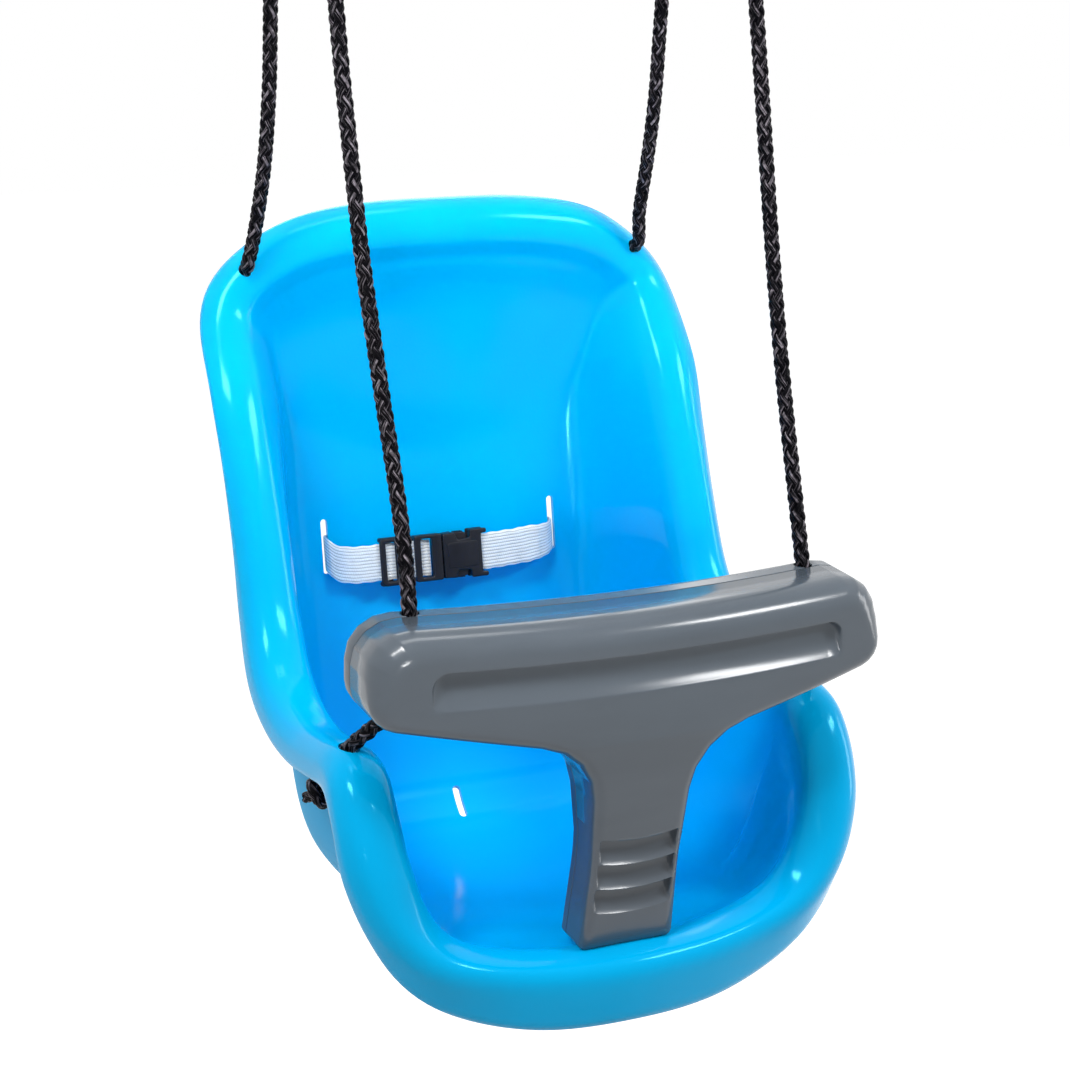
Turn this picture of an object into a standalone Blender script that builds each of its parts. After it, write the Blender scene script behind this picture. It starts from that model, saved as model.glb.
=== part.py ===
# Baby swing seat: moulded bucket shell hung on two ropes, sliding T-bar, lap belt
# Lengths in metres, angles in degrees, +X right, +Y back, +Z up
import math

import bmesh
import bpy
import numpy as np
from mathutils import Euler, Matrix, Vector

# Hanging rings and the line that the seat swings about
RING_WIRE_RADIUS = 0.0035
RING_RADIUS = 0.0235
RING_SPACING = 0.260
HANG_HEIGHT = 0.785
HANG_REACH = 0.2100
THIMBLE_ROPE_RADIUS = 0.0200
THIMBLE_WALL = 0.0025
THIMBLE_CHEEK = 0.0020

# Rope
ROPE_DIAMETER = 0.008
ROPE_HOLE_DIAMETER = ROPE_DIAMETER + 0.003
KNOT_DIAMETER = 0.0215

# Seat shell
SHELL_THICKNESS = 0.0035
RIM_HALF_WIDTH = 0.1525
BACK_TOP = 0.3813
BACK_RIM_DEPTH = 0.300
ARM_HEIGHT = 0.115
ARM_NOSE_RISE = 0.007
PAN_SINK = 0.037
FLAT_HALF_WIDTH = 0.088
BACK_PANEL_DEPTH = 0.325
PAN_DISH = 0.004
RIM_INSIDE = 0.022
RIM_OUTSIDE = 0.0175
SKIRT_DROP = 0.023
APRON_DROP = 0.0417
RIM_SINK = 0.018
WALL_FULLNESS = 0.62
TOP_FULLNESS = 0.45
CREST_FULLNESS = 0.35

# Openings in the shell
BELT_SLOT_SPACING = 0.166
BELT_SLOT_HEIGHT = 0.0375
BELT_SLOT_WIDTH = 0.0048
BELT_SLOT_CENTRE = 0.1615
DRAIN_LENGTH = 0.024
DRAIN_WIDTH = 0.0055

# T-bar
BAR_HALF_LENGTH = 0.1585
BAR_TOP = 0.2090
BAR_END_BOTTOM = 0.157
BAR_TOP_TURN = 0.026
BAR_END_TURN = 0.0165
BAR_BOW = 0.018
BAR_THICKNESS = 0.058
BAR_SEAM_DEPTH = 0.039
BAR_WALL = 0.0030
BAR_ROUNDING = 0.016
REAR_ROUNDING = 0.010
POST_HALF_WIDTH = 0.0280
POST_THICKNESS = 0.034
FOOT_HALF_WIDTH = 0.0300
FOOT_SETBACK = 0.008
FOOT_BOTTOM = -0.0024
BAR_GROOVE_HALF_LENGTH = 0.127
BAR_GROOVE_DROP = 0.033
BAR_GROOVE_WIDTH = 0.020
BAR_GROOVE_DEPTH = 0.0045
GRIP_COUNT = 3
GRIP_TOP = 0.070
GRIP_PITCH = 0.0158
GRIP_HALF_WIDTH = 0.0215
GRIP_DEPTH = 0.0045

# Lap belt
WEBBING_WIDTH = 0.025
WEBBING_THICKNESS = 0.0016
WEBBING_DROP = 0.0050
BELT_HEIGHT = 0.151
BELT_STANDOFF = 0.0146
BELT_EXTRA_LEAN = 1.45
BUCKLE_HEIGHT = 0.032
BUCKLE_THICKNESS = 0.011
BUCKLE_JOINT = -0.005
FEMALE_LENGTH = 0.032
MALE_LENGTH = 0.020
SLIDER_WIDTH = 0.015
SLIDER_HEIGHT = 0.033
SLIDER_CENTRE = -0.042

# Fits
TOUCH_GAP = 0.0003
SLIDE_GAP = 0.0004

# Frames: the rings' inner tops hold the part up, and the seat has its own frame below
AXIS_DROP = 2 * RING_RADIUS - RING_WIRE_RADIUS
THIMBLE_FLOOR = THIMBLE_ROPE_RADIUS - ROPE_DIAMETER / 2 - 2 * TOUCH_GAP
THIMBLE_BORE = THIMBLE_FLOOR - THIMBLE_WALL
THIMBLE_SIDE_GAP = 2 * TOUCH_GAP
THIMBLE_HALF_WIDTH = ROPE_DIAMETER / 2 + THIMBLE_SIDE_GAP + THIMBLE_CHEEK
RING_RISE = RING_RADIUS - math.sqrt(RING_RADIUS ** 2 - THIMBLE_HALF_WIDTH ** 2)
PUNCH_REACH = 3.5 * SHELL_THICKNESS
THIMBLE_DROP = THIMBLE_BORE - RING_WIRE_RADIUS - TOUCH_GAP - RING_RISE
SEAT_TILT = 3.0
BAR_GROOVE_HEIGHT = BAR_TOP - BAR_GROOVE_DROP

MATERIALS = {
    "shell_blue": ((0.0, 0.42, 0.93), 0.18, 0.0),
    "bar_grey": ((0.16, 0.18, 0.20), 0.28, 0.0),
    "rope_black": ((0.012, 0.012, 0.015), 0.6, 0.0),
    "webbing_white": ((0.82, 0.85, 0.86), 0.85, 0.0),
    "buckle_black": ((0.012, 0.013, 0.018), 0.35, 0.0),
    "steel": ((0.55, 0.56, 0.58), 0.25, 1.0),
}


def clear_scene():
    for item in list(bpy.data.objects):
        bpy.data.objects.remove(item, do_unlink=True)


def material(name):
    found = bpy.data.materials.get(name)
    if found:
        return found
    colour, roughness, metallic = MATERIALS[name]
    made = bpy.data.materials.new(name)
    made.use_nodes = True
    shader = made.node_tree.nodes["Principled BSDF"]
    shader.inputs["Base Color"].default_value = (*colour, 1.0)
    shader.inputs["Roughness"].default_value = roughness
    shader.inputs["Metallic"].default_value = metallic
    return made


def link(name, mesh, finish, parent=None):
    part = bpy.data.objects.new(name, mesh)
    bpy.context.scene.collection.objects.link(part)
    if finish:
        part.data.materials.append(material(finish))
    if parent:
        part.parent = parent
    return part


def empty(name, location, rotation=(0.0, 0.0, 0.0), parent=None):
    made = bpy.data.objects.new(name, None)
    made.location = location
    made.rotation_euler = Euler(rotation)
    bpy.context.scene.collection.objects.link(made)
    made.parent = parent
    return made


def mesh_of(work, name):
    mesh = bpy.data.meshes.new(name)
    work.to_mesh(mesh)
    work.free()
    return mesh


def smooth(part, angle=40.0):
    part.data.shade_smooth()
    part.data.set_sharp_from_angle(angle=math.radians(angle))


def frozen(mesh, cutters, operation="DIFFERENCE"):
    # Returns the mesh cut by each cutter mesh in turn
    holder = link("working", mesh, None)
    tools = []
    for cutter in cutters:
        tool = link("cutter", cutter, None)
        tool.hide_render = True
        tool.display_type = "WIRE"
        tools.append(tool)
        step = holder.modifiers.new("cut", "BOOLEAN")
        step.operation = operation
        step.solver = "EXACT"
        step.object = tool
    bpy.context.view_layer.update()
    graph = bpy.context.evaluated_depsgraph_get()
    result = bpy.data.meshes.new_from_object(holder.evaluated_get(graph))
    for item in [holder] + tools:
        bpy.data.objects.remove(item, do_unlink=True)
    return result


def box_mesh(low, high, bevel=0.0, segments=2):
    work = bmesh.new()
    bmesh.ops.create_cube(work, size=1.0)
    for vertex in work.verts:
        for axis in range(3):
            middle = (low[axis] + high[axis]) / 2
            vertex.co[axis] = middle + vertex.co[axis] * (high[axis] - low[axis])
    if bevel > 0:
        bmesh.ops.bevel(
            work, geom=list(work.edges), offset=bevel, segments=segments, profile=0.5, affect="EDGES"
        )
    return mesh_of(work, "box")


def rod_mesh(start, end, radius, sides=24, end_radius=None):
    # Closed cylinder or cone between two points
    start, end = Vector(start), Vector(end)
    along = end - start
    turn = along.to_track_quat("Z", "Y").to_matrix().to_4x4()
    work = bmesh.new()
    bmesh.ops.create_cone(
        work, cap_ends=True, segments=sides, radius1=radius,
        radius2=radius if end_radius is None else end_radius, depth=along.length,
        matrix=Matrix.Translation((start + end) / 2) @ turn,
    )
    return mesh_of(work, "rod")


# Curves
def smooth_points(controls, values, closed=False):
    # Catmull-Rom curve through the control rows, read at the given places
    controls = np.array(controls, float)
    count = len(controls)
    rows = []
    for value in values:
        index = int(math.floor(value))
        if not closed:
            index = min(max(index, 0), count - 2)
        share = value - index
        picks = []
        for step in (-1, 0, 1, 2):
            if closed:
                picks.append(controls[(index + step) % count])
            else:
                place = index + step
                if place < 0:
                    picks.append(2 * controls[0] - controls[1])
                elif place >= count:
                    picks.append(2 * controls[-1] - controls[-2])
                else:
                    picks.append(controls[place])
        a, b, c, d = picks
        rows.append(
            0.5 * (2 * b + (c - a) * share + (2 * a - 5 * b + 4 * c - d) * share ** 2
                   + (3 * b - a - 3 * c + d) * share ** 3)
        )
    return np.array(rows)


def unit(vector):
    return vector / np.linalg.norm(vector)


def midline():
    # Back panel and pan along the middle plane, top to front, as (y, z)
    depth = BACK_PANEL_DEPTH
    sink = PAN_SINK
    return [
        (depth + 0.039, BACK_TOP - 0.030),
        (depth + 0.019, BACK_TOP - 0.121),
        (depth, BACK_TOP - 0.216),
        (depth - 0.011, 0.095),
        (depth - 0.020, 0.030),
        (depth - 0.032, 0.023 - sink),
        (depth - 0.063, 0.001 - sink),
        (depth - 0.120, -sink),
        (0.140, 0.011 - sink),
        (0.080, 0.023 - sink),
        (0.040, -0.0095),
    ]


def rim_stations():
    # Half of the rim's crest, back top to front middle: x, y, z, face tilt, flat half width,
    # place on the midline, drop and reach of the outer edge, sink of the inner edge
    wide, top, back, arm = RIM_HALF_WIDTH, BACK_TOP, BACK_RIM_DEPTH, ARM_HEIGHT
    flat, reach = FLAT_HALF_WIDTH, RIM_OUTSIDE
    nose = arm + ARM_NOSE_RISE
    skirt, apron, inner = SKIRT_DROP, APRON_DROP, RIM_SINK
    return [
        (0.0000, back + 0.0015, top, 72, 0.000, 0.80, skirt - 0.003, reach + 0.002, inner),
        (wide - 0.0945, back + 0.0020, top - 0.0019, 72, flat - 0.033, 0.81, skirt - 0.005, reach + 0.002, inner),
        (wide - 0.0506, back + 0.0027, top - 0.0095, 70, flat - 0.010, 0.86, skirt - 0.008, reach + 0.001, inner),
        (wide - 0.0194, back + 0.0052, top - 0.0277, 68, flat, 0.97, skirt - 0.006, reach, inner),
        (wide - 0.0035, back + 0.0002, top - 0.0508, 67, flat + 0.003, 1.15, skirt - 0.009, reach, inner),
        (wide - 0.0001, back - 0.0302, top - 0.0930, 66, flat + 0.002, 1.50, skirt - 0.0125, reach, inner),
        (wide - 0.0002, back - 0.0516, top - 0.1346, 66, flat + 0.001, 1.90, skirt - 0.010, reach - 0.001, inner),
        (wide - 0.0003, back - 0.0724, top - 0.1806, 62, flat, 2.40, skirt - 0.007, reach - 0.001, inner),
        (wide, back - 0.0913, top - 0.2220, 52, flat, 3.20, skirt - 0.002, reach, inner),
        (wide + 0.0010, back - 0.1133, arm + 0.0175, 34, flat, 4.60, skirt, reach + 0.0015, inner),
        (wide + 0.0010, back - 0.1396, arm + 0.0044, 14, flat, 6.30, skirt, reach + 0.001, inner),
        (wide, 0.1305, arm, 2, flat, 7.40, skirt, reach, inner),
        (wide - 0.0010, 0.1005, arm + 0.0030, 0, flat, 8.10, skirt, reach - 0.001, inner),
        (wide - 0.0024, 0.0736, nose - 0.0008, 8, flat, 8.60, skirt, reach - 0.001, inner),
        (wide - 0.0029, 0.0507, nose - 0.0076, 28, flat - 0.001, 9.00, skirt - 0.001, reach, inner),
        (wide - 0.0035, 0.0325, nose - 0.0292, 45, flat - 0.002, 9.30, skirt - 0.004, reach + 0.001, inner),
        (wide - 0.0063, 0.0210, 0.0653, 50, flat - 0.004, 9.50, skirt - 0.003, reach + 0.0015, inner - 0.003),
        (wide - 0.0157, 0.0136, 0.0381, 45, flat - 0.009, 9.70, skirt - 0.001, reach - 0.001, inner - 0.007),
        (wide - 0.0357, 0.0093, 0.0148, 30, flat - 0.020, 9.90, apron - 0.011, reach - 0.005, inner - 0.010),
        (wide - 0.0639, 0.0063, 0.0025, 18, flat - 0.040, 10.0, apron - 0.004, reach - 0.008, inner - 0.0115),
        (wide - 0.1043, 0.0024, -0.0031, 12, flat - 0.063, 10.0, apron, reach - 0.007, inner - 0.012),
        (0.0000, -0.0003, -0.0029, 10, 0.000, 10.0, apron, reach - 0.0055, inner - 0.012),
    ]


def flange_profile(drop, reach, sink, ease):
    # Section of the rolled rim outward and up from its crest, inner wall first; it eases
    # from a steep inner wall (0) to the gentle slope at the head of the back (1)
    inside = RIM_INSIDE
    fold = min(0.009, drop * 0.6)
    inner = sink * (1.0 - 0.20 * ease)
    return [
        (-inside, -inner),
        (0.0025 + 0.0030 * ease - inside, -inner * (0.56 - 0.03 * ease)),
        (0.0090 + 0.0020 * ease - inside, -inner * (0.19 - 0.02 * ease)),
        (0.0, 0.0),
        (reach * 0.52, -0.0025),
        (reach * 0.85, -fold),
        (reach * 0.95, -fold - (drop - fold) * 0.4),
        (reach, -drop),
    ]


SPINE_TOP, SPINE_FRONT = 1.0, 9.3


def base_point(x, place, flat):
    # Point of the dished panel and pan
    y, z = smooth_points(midline(), [place])[0]
    ahead = smooth_points(midline(), [place + 0.05])[0] - smooth_points(midline(), [place - 0.05])[0]
    ahead = unit(ahead)
    lift = PAN_DISH * (x / FLAT_HALF_WIDTH) ** 2
    return np.array([x, y + lift * ahead[1], z - lift * ahead[0]])


def rim_frame(place):
    # Crest point, outward and face directions of the rim at a place along the stations
    half = rim_stations()
    whole = half + [(-row[0], *row[1:4], -row[4], *row[5:]) for row in half[-2:0:-1]]
    row = smooth_points(whole, [place], closed=True)[0]
    step = 0.02
    before, after = smooth_points(whole, [place - step, place + step], closed=True)
    tangent = unit(after[:3] - before[:3])
    tilt = math.radians(row[3])
    face = np.array([0.0, -math.sin(tilt), math.cos(tilt)])
    face = unit(face - tangent * face.dot(tangent))
    outward = np.cross(face, tangent)
    return row, outward, face


def shell_column(place, flat_rows, wall_rows, rim_rows):
    # One line of points from the spine over the rim to the outer edge
    row, outward, face = rim_frame(place)
    flat, seat_place, drop, reach, sink = row[4:9]
    spine_place = min(max(seat_place, SPINE_TOP), SPINE_FRONT)
    points = []
    for share in np.linspace(0.0, 1.0, flat_rows):
        points.append(base_point(flat * share, spine_place + (seat_place - spine_place) * share, flat))
    edge = points[-1]
    near = base_point(flat * 0.97, spine_place + (seat_place - spine_place) * 0.97, flat)
    sideways = unit(edge - near)
    ease = 1.0 - min(max((seat_place - 1.1) / 2.6, 0.0), 1.0)
    corners = [row[:3] + outward * o + face * d for o, d in flange_profile(drop, reach, sink, ease)]
    rim = list(smooth_points(corners, np.linspace(0, 7, rim_rows)))
    span = rim[0] - edge
    down = unit(-face * (1.0 - ease) + unit(corners[0] - corners[1]) * ease)
    below = min(max((seat_place - 0.9) / 0.9, 0.0), 1.0)
    fullness = TOP_FULLNESS + (WALL_FULLNESS - TOP_FULLNESS) * below
    lean = edge + sideways * fullness * max(span.dot(sideways), 0.004)
    fullness = CREST_FULLNESS + (WALL_FULLNESS - CREST_FULLNESS) * below
    rise = rim[0] + down * fullness * max(-span.dot(down), 0.002)
    for share in np.linspace(0.0, 1.0, wall_rows + 2)[1:-1]:
        rest = 1.0 - share
        points.append(
            rest ** 3 * edge + 3 * rest ** 2 * share * lean + 3 * rest * share ** 2 * rise + share ** 3 * rim[0]
        )
    return points + rim


def station_places(count):
    # Places along half of the rim, spaced by the way along the crest and along the base
    last = len(rim_stations()) - 1
    fine = np.linspace(0.0, last, 400)
    crest, base = [], []
    for place in fine:
        row = rim_frame(place)[0]
        crest.append(row[:3])
        base.append(base_point(row[4], row[5], row[4]))
    crest, base = np.array(crest), np.array(base)
    steps = np.linalg.norm(np.diff(crest, axis=0), axis=1) + 0.45 * np.linalg.norm(np.diff(base, axis=0), axis=1)
    way = np.concatenate([[0.0], np.cumsum(steps)])
    return np.interp(np.linspace(0.0, way[-1], count), way, fine)


def shell_skin(columns, flat_rows, wall_rows, rim_rows):
    # Seating side of the shell as one sheet
    half = [shell_column(place, flat_rows, wall_rows, rim_rows) for place in station_places(columns)]
    mirror = [[point * np.array([-1, 1, 1]) for point in line] for line in half[-2:0:-1]]
    lines = half + mirror
    for line in (lines[0], lines[columns - 1]):
        for point in line:
            point[0] = 0.0
    work = bmesh.new()
    grid = [[work.verts.new(point) for point in line] for line in lines]
    for index, line in enumerate(grid):
        other = grid[(index + 1) % len(grid)]
        for a, b, c, d in zip(line, line[1:], other[1:], other):
            work.faces.new((a, d, c, b))
    bmesh.ops.remove_doubles(work, verts=work.verts, dist=1e-5)
    bmesh.ops.dissolve_degenerate(work, edges=work.edges, dist=1e-6)
    return work


def slot_cutter(centre, along, through, length, width, reach):
    # Stadium-shaped punch
    along, through = Vector(along).normalized(), Vector(through).normalized()
    side = along.cross(through)
    radius = width / 2
    straight = length / 2 - radius
    work = bmesh.new()
    ring = []
    for index in range(16):
        angle = math.tau * (index + 0.5) / 16
        shift = straight if math.cos(angle) > 0 else -straight
        spot = along * (shift + radius * math.cos(angle)) + side * radius * math.sin(angle)
        ring.append(work.verts.new(Vector(centre) + spot - through * reach))
    base = work.faces.new(ring)
    moved = bmesh.ops.extrude_face_region(work, geom=[base])["geom"]
    for item in moved:
        if isinstance(item, bmesh.types.BMVert):
            item.co += through * 2 * reach
    bmesh.ops.recalc_face_normals(work, faces=work.faces)
    return mesh_of(work, "slot")


def belt_slot_points():
    # Centre and directions of the right belt slot, in the seat's frame
    line = midline()
    places = np.linspace(1.0, 4.0, 301)
    spots = smooth_points(line, places)
    nearest = int(np.argmin(abs(spots[:, 1] - BELT_SLOT_CENTRE)))
    centre = base_point(BELT_SLOT_SPACING / 2, places[nearest], FLAT_HALF_WIDTH)
    tangent = unit(spots[nearest - 5] - spots[nearest + 5])
    return centre, np.array([0.0, *tangent]), np.array([0.0, tangent[1], -tangent[0]])


def drain_points():
    # Centre and directions of the drain slot at the foot of the back
    place = 5.35
    y, z = smooth_points(midline(), [place])[0]
    tangent = smooth_points(midline(), [place - 0.1])[0] - smooth_points(midline(), [place + 0.1])[0]
    tangent = unit(tangent)
    return np.array([0.0, y, z]), np.array([0.0, *tangent]), np.array([0.0, tangent[1], -tangent[0]])


REAR_HOLE_PLACE, REAR_HOLE_SHIFT = 3.05, 0.004
ARM_HOLE_PLACE, ARM_HOLE_SHIFT = 13.10, -0.002


def rope_hole(place, shift):
    # Middle and axis of a rope hole on the right side of the rim
    row, outward, face = rim_frame(place)
    return row[:3] + outward * shift, face


def front_rope_line():
    # Front leg from the T-bar up to the thimble, right side
    bar = BAR_TOP
    return np.array([
        (0.1245, 0.0270, bar - 0.039), (0.1237, 0.0355, bar - 0.009), (0.1229, 0.0432, bar + 0.021),
        (0.1230, 0.0529, bar + 0.051), (0.1237, 0.0636, bar + 0.081), (0.1248, 0.0745, bar + 0.111),
        (0.1259, 0.0848, bar + 0.141), (0.1270, 0.0944, bar + 0.171), (0.1279, 0.1030, bar + 0.201),
        (0.1285, 0.1107, bar + 0.231), (0.1290, 0.1182, bar + 0.261), (0.1294, 0.1257, bar + 0.291),
    ])


def rope_lower_route():
    # Front leg from the stopper knot through the arm and up to the T-bar, right side
    hole, face = rope_hole(ARM_HOLE_PLACE, ARM_HOLE_SHIFT)
    tip = front_rope_line()[0]
    return [
        hole + np.array([0.0068, 0.0265, -0.0310]),
        hole + np.array([0.0055, 0.0200, -0.0230]),
        hole + np.array([0.0030, 0.0110, -0.0120]),
        hole,
        hole * 0.62 + tip * 0.38 + np.array([-0.0010, -0.0010, 0.0000]),
        hole * 0.28 + tip * 0.72 + np.array([-0.0010, -0.0010, -0.0010]),
        tip,
    ]


def rope_route():
    # Whole right rope in the seat's frame: front knot, T-bar, over the thimble, rear knot
    across = RING_SPACING / 2
    low = front_rope_line()
    centre = np.array([across, HANG_REACH, HANG_HEIGHT])
    touch = centre + np.array([0.0, -THIMBLE_ROPE_RADIUS, -0.004])
    rise = [low[-1] + (touch - low[-1]) * share for share in (0.25, 0.5, 0.75, 0.92)]
    turn = []
    for share in np.linspace(0.0, 1.0, 8):
        angle = math.radians(168.0 - 171.0 * share)
        turn.append(centre + THIMBLE_ROPE_RADIUS * np.array([0.0, math.cos(angle), math.sin(angle)]))
    hole, face = rope_hole(REAR_HOLE_PLACE, REAR_HOLE_SHIFT)
    top, rear = hole[2], BACK_RIM_DEPTH
    far = np.array([0.1299, rear - 0.0387, top + 0.147])
    start = centre + np.array([0.0, THIMBLE_ROPE_RADIUS, 0.0])
    fall = [start + (far - start) * share for share in (0.12, 0.37, 0.64)]
    back = [
        far, np.array([0.1305, rear - 0.0331, top + 0.107]), np.array([0.1315, rear - 0.0225, top + 0.067]),
        np.array([0.1337, rear - 0.0065, top + 0.027]), hole + face * 0.0060 + np.array([-0.001, 0.0, 0.0045]),
        hole - face * 0.0070, hole - face * 0.0140,
    ]
    return rope_lower_route() + list(low[1:]) + rise + turn + fall + back


def slide_axis():
    # Direction that the T-bar slides in along its ropes
    line = front_rope_line()
    return unit((line[9] - line[1]) * np.array([0, 1, 1]))


def rope_points():
    route = np.array(rope_route())
    fine = smooth_points(route, np.linspace(0, len(route) - 1, 2400))
    way = np.concatenate([[0.0], np.cumsum(np.linalg.norm(np.diff(fine, axis=0), axis=1))])
    places = [0.0]
    # Closer points where the rope turns
    while places[-1] < way[-1]:
        spot = fine[min(int(np.searchsorted(way, places[-1])), len(fine) - 1)]
        turning = spot[2] < ARM_HEIGHT + 0.06 or (spot[1] > 0.27 and spot[2] < 0.43)
        over_thimble = spot[2] > HANG_HEIGHT - 0.015
        places.append(places[-1] + (0.0045 if over_thimble else 0.0080 if turning else 0.022))
    places = np.array(places) * way[-1] / places[-1]
    return np.stack([np.interp(places, way, fine[:, axis]) for axis in range(3)], axis=1), way[-1]


def build_shell(seat):
    work = shell_skin(columns=38, flat_rows=4, wall_rows=5, rim_rows=9)
    skin = mesh_of(work, "shell_skin")
    holder = link("working", skin, None)
    wall = holder.modifiers.new("wall", "SOLIDIFY")
    wall.thickness = SHELL_THICKNESS
    wall.offset = -1.0
    wall.use_even_offset = True
    wall.use_quality_normals = True
    bpy.context.view_layer.update()
    graph = bpy.context.evaluated_depsgraph_get()
    solid = bpy.data.meshes.new_from_object(holder.evaluated_get(graph))
    bpy.data.objects.remove(holder, do_unlink=True)

    cutters = []
    rear_hole, rear_face = rope_hole(REAR_HOLE_PLACE, REAR_HOLE_SHIFT)
    lower = rope_lower_route()
    arm_axis = unit(lower[4] - lower[2])
    centre, along, through = belt_slot_points()
    for side in (1, -1):
        mirror = np.array([side, 1, 1])
        middle = rear_hole * mirror
        way = rear_face * mirror
        cutters.append(rod_mesh(middle - way * 0.02, middle + way * 0.02, ROPE_HOLE_DIAMETER / 2))
        middle = lower[3] * mirror
        way = arm_axis * mirror
        cutters.append(rod_mesh(middle - way * PUNCH_REACH, middle + way * PUNCH_REACH, ROPE_HOLE_DIAMETER / 2))
        cutters.append(
            slot_cutter(centre * mirror, along, through, BELT_SLOT_HEIGHT, BELT_SLOT_WIDTH, PUNCH_REACH)
        )
    centre, along, through = drain_points()
    cutters.append(slot_cutter(centre, along, through, DRAIN_LENGTH, DRAIN_WIDTH, PUNCH_REACH))
    shell = link("seat_shell", frozen(solid, cutters), "shell_blue", seat)
    smooth(shell)
    return shell


# T-bar
def rounded_outline(corners, arc_steps):
    # Closed outline with each corner turned by its own radius
    points = []
    count = len(corners)
    for index, (x, z, radius) in enumerate(corners):
        here = Vector((x, z))
        before = Vector(corners[index - 1][:2]) - here
        after = Vector(corners[(index + 1) % count][:2]) - here
        if radius <= 0:
            points.append(here)
            continue
        before.normalize()
        after.normalize()
        half = before.angle(after) / 2
        reach = radius / math.tan(half)
        middle = here + (before + after).normalized() * (radius / math.sin(half))
        first = here + before * reach - middle
        last = here + after * reach - middle
        sweep = first.angle_signed(last)
        for step in range(arc_steps + 1):
            turn = Matrix.Rotation(-sweep * step / arc_steps, 2)
            points.append(middle + turn @ first)
    return points


def bar_corners(inset=0.0):
    # Corners of the T, from the top middle round to the foot, both sides
    half, top = BAR_HALF_LENGTH - inset, BAR_TOP - inset
    right = [
        (half - 0.001, top, BAR_TOP_TURN - inset),
        (half, BAR_END_BOTTOM + inset, max(BAR_END_TURN - inset, 0.0015)),
        (POST_HALF_WIDTH + 0.004 - inset, BAR_END_BOTTOM - 0.026 + inset, 0.042 + inset),
        (POST_HALF_WIDTH - inset, GRIP_TOP - 0.020, 0.200),
        (FOOT_HALF_WIDTH - inset, FOOT_BOTTOM + inset, max(0.004 - inset, 0.0015)),
    ]
    left = [(-x, z, radius) for x, z, radius in reversed(right)]
    return right + left


def bend_point(x, y, z):
    # Bows the bar forward, leans the post back and thins it towards the foot
    bow = BAR_BOW * (1 - (x / BAR_HALF_LENGTH) ** 2)
    fade = min(max(z / (BAR_END_BOTTOM - 0.020), 0.0), 1.0)
    thin = POST_THICKNESS / BAR_THICKNESS
    thickness_share = thin + (1 - thin) * min(max((z - 0.070) / 0.075, 0.0), 1.0)
    setback = FOOT_SETBACK * (1 - fade)
    return x, y * thickness_share - bow * fade + setback, z


def bend_mesh(mesh):
    work = bmesh.new()
    work.from_mesh(mesh)
    lines = [(Vector((x, 0, 0)), Vector((1, 0, 0))) for x in np.linspace(-0.14, 0.14, 9)]
    lines += [(Vector((0, 0, z)), Vector((0, 0, 1))) for z in (0.070, 0.095, 0.120, 0.145)]
    for spot, normal in lines:
        geometry = work.verts[:] + work.edges[:] + work.faces[:]
        bmesh.ops.bisect_plane(work, geom=geometry, dist=1e-6, plane_co=spot, plane_no=normal)
    for vertex in work.verts:
        vertex.co = Vector(bend_point(*vertex.co))
    bmesh.ops.remove_doubles(work, verts=work.verts, dist=2e-5)
    bmesh.ops.triangulate(work, faces=work.faces)
    return mesh_of(work, "bent")


def bar_loop(inset, depth):
    # Outline of the T at a depth behind the front face, drawn in by the inset
    return [Vector((point.x, depth, point.y)) for point in rounded_outline(bar_corners(inset), 4)]


def rounded_loops(face, wall_end, rounding, inset=0.0, steps=3):
    # Loops from a flat face over its rounded edge to the end of the wall
    way = 1.0 if wall_end > face else -1.0
    loops = []
    for step in range(steps + 1):
        angle = math.pi / 2 * step / steps
        loops.append(
            bar_loop(inset + rounding * (1 - math.sin(angle)), face + way * rounding * (1 - math.cos(angle)))
        )
    loops.append(bar_loop(inset, wall_end))
    return loops


def loft(loops):
    # Closed solid through loops of equal counts
    work = bmesh.new()
    rows = [[work.verts.new(point) for point in loop] for loop in loops]
    count = len(rows[0])
    for row, other in zip(rows, rows[1:]):
        for step in range(count):
            after = (step + 1) % count
            work.faces.new((row[step], row[after], other[after], other[step]))
    work.faces.new(rows[0][::-1])
    work.faces.new(rows[-1])
    bmesh.ops.recalc_face_normals(work, faces=work.faces)
    return mesh_of(work, "loft")


def groove_cutter():
    half_width = BAR_GROOVE_WIDTH / 2
    radius = (half_width ** 2 + BAR_GROOVE_DEPTH ** 2) / (2 * BAR_GROOVE_DEPTH)
    height = BAR_GROOVE_DEPTH - radius
    end = BAR_GROOVE_HALF_LENGTH - half_width
    body = rod_mesh((-end, height, BAR_GROOVE_HEIGHT), (end, height, BAR_GROOVE_HEIGHT), radius, sides=40)
    work = bmesh.new()
    work.from_mesh(body)
    for side in (-1, 1):
        place = Matrix.Translation((side * end, height, BAR_GROOVE_HEIGHT)) @ Matrix.Rotation(math.pi / 2, 4, "Y")
        bmesh.ops.create_uvsphere(work, u_segments=40, v_segments=20, radius=radius, matrix=place)
    bmesh.ops.remove_doubles(work, verts=work.verts, dist=1e-6)
    separate = mesh_of(work, "groove_raw")
    return separate


def groove_backing():
    # Thicker wall behind the groove
    half_width = BAR_GROOVE_WIDTH / 2
    radius = (half_width ** 2 + BAR_GROOVE_DEPTH ** 2) / (2 * BAR_GROOVE_DEPTH)
    height = BAR_GROOVE_DEPTH - radius
    end = BAR_GROOVE_HALF_LENGTH + 0.004
    rod = rod_mesh((-end, height, BAR_GROOVE_HEIGHT), (end, height, BAR_GROOVE_HEIGHT), radius + BAR_WALL, sides=40)
    return frozen(rod, [box_mesh((-0.2, -0.1, 0.0), (0.2, BAR_WALL * 0.5, 0.3))])


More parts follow.
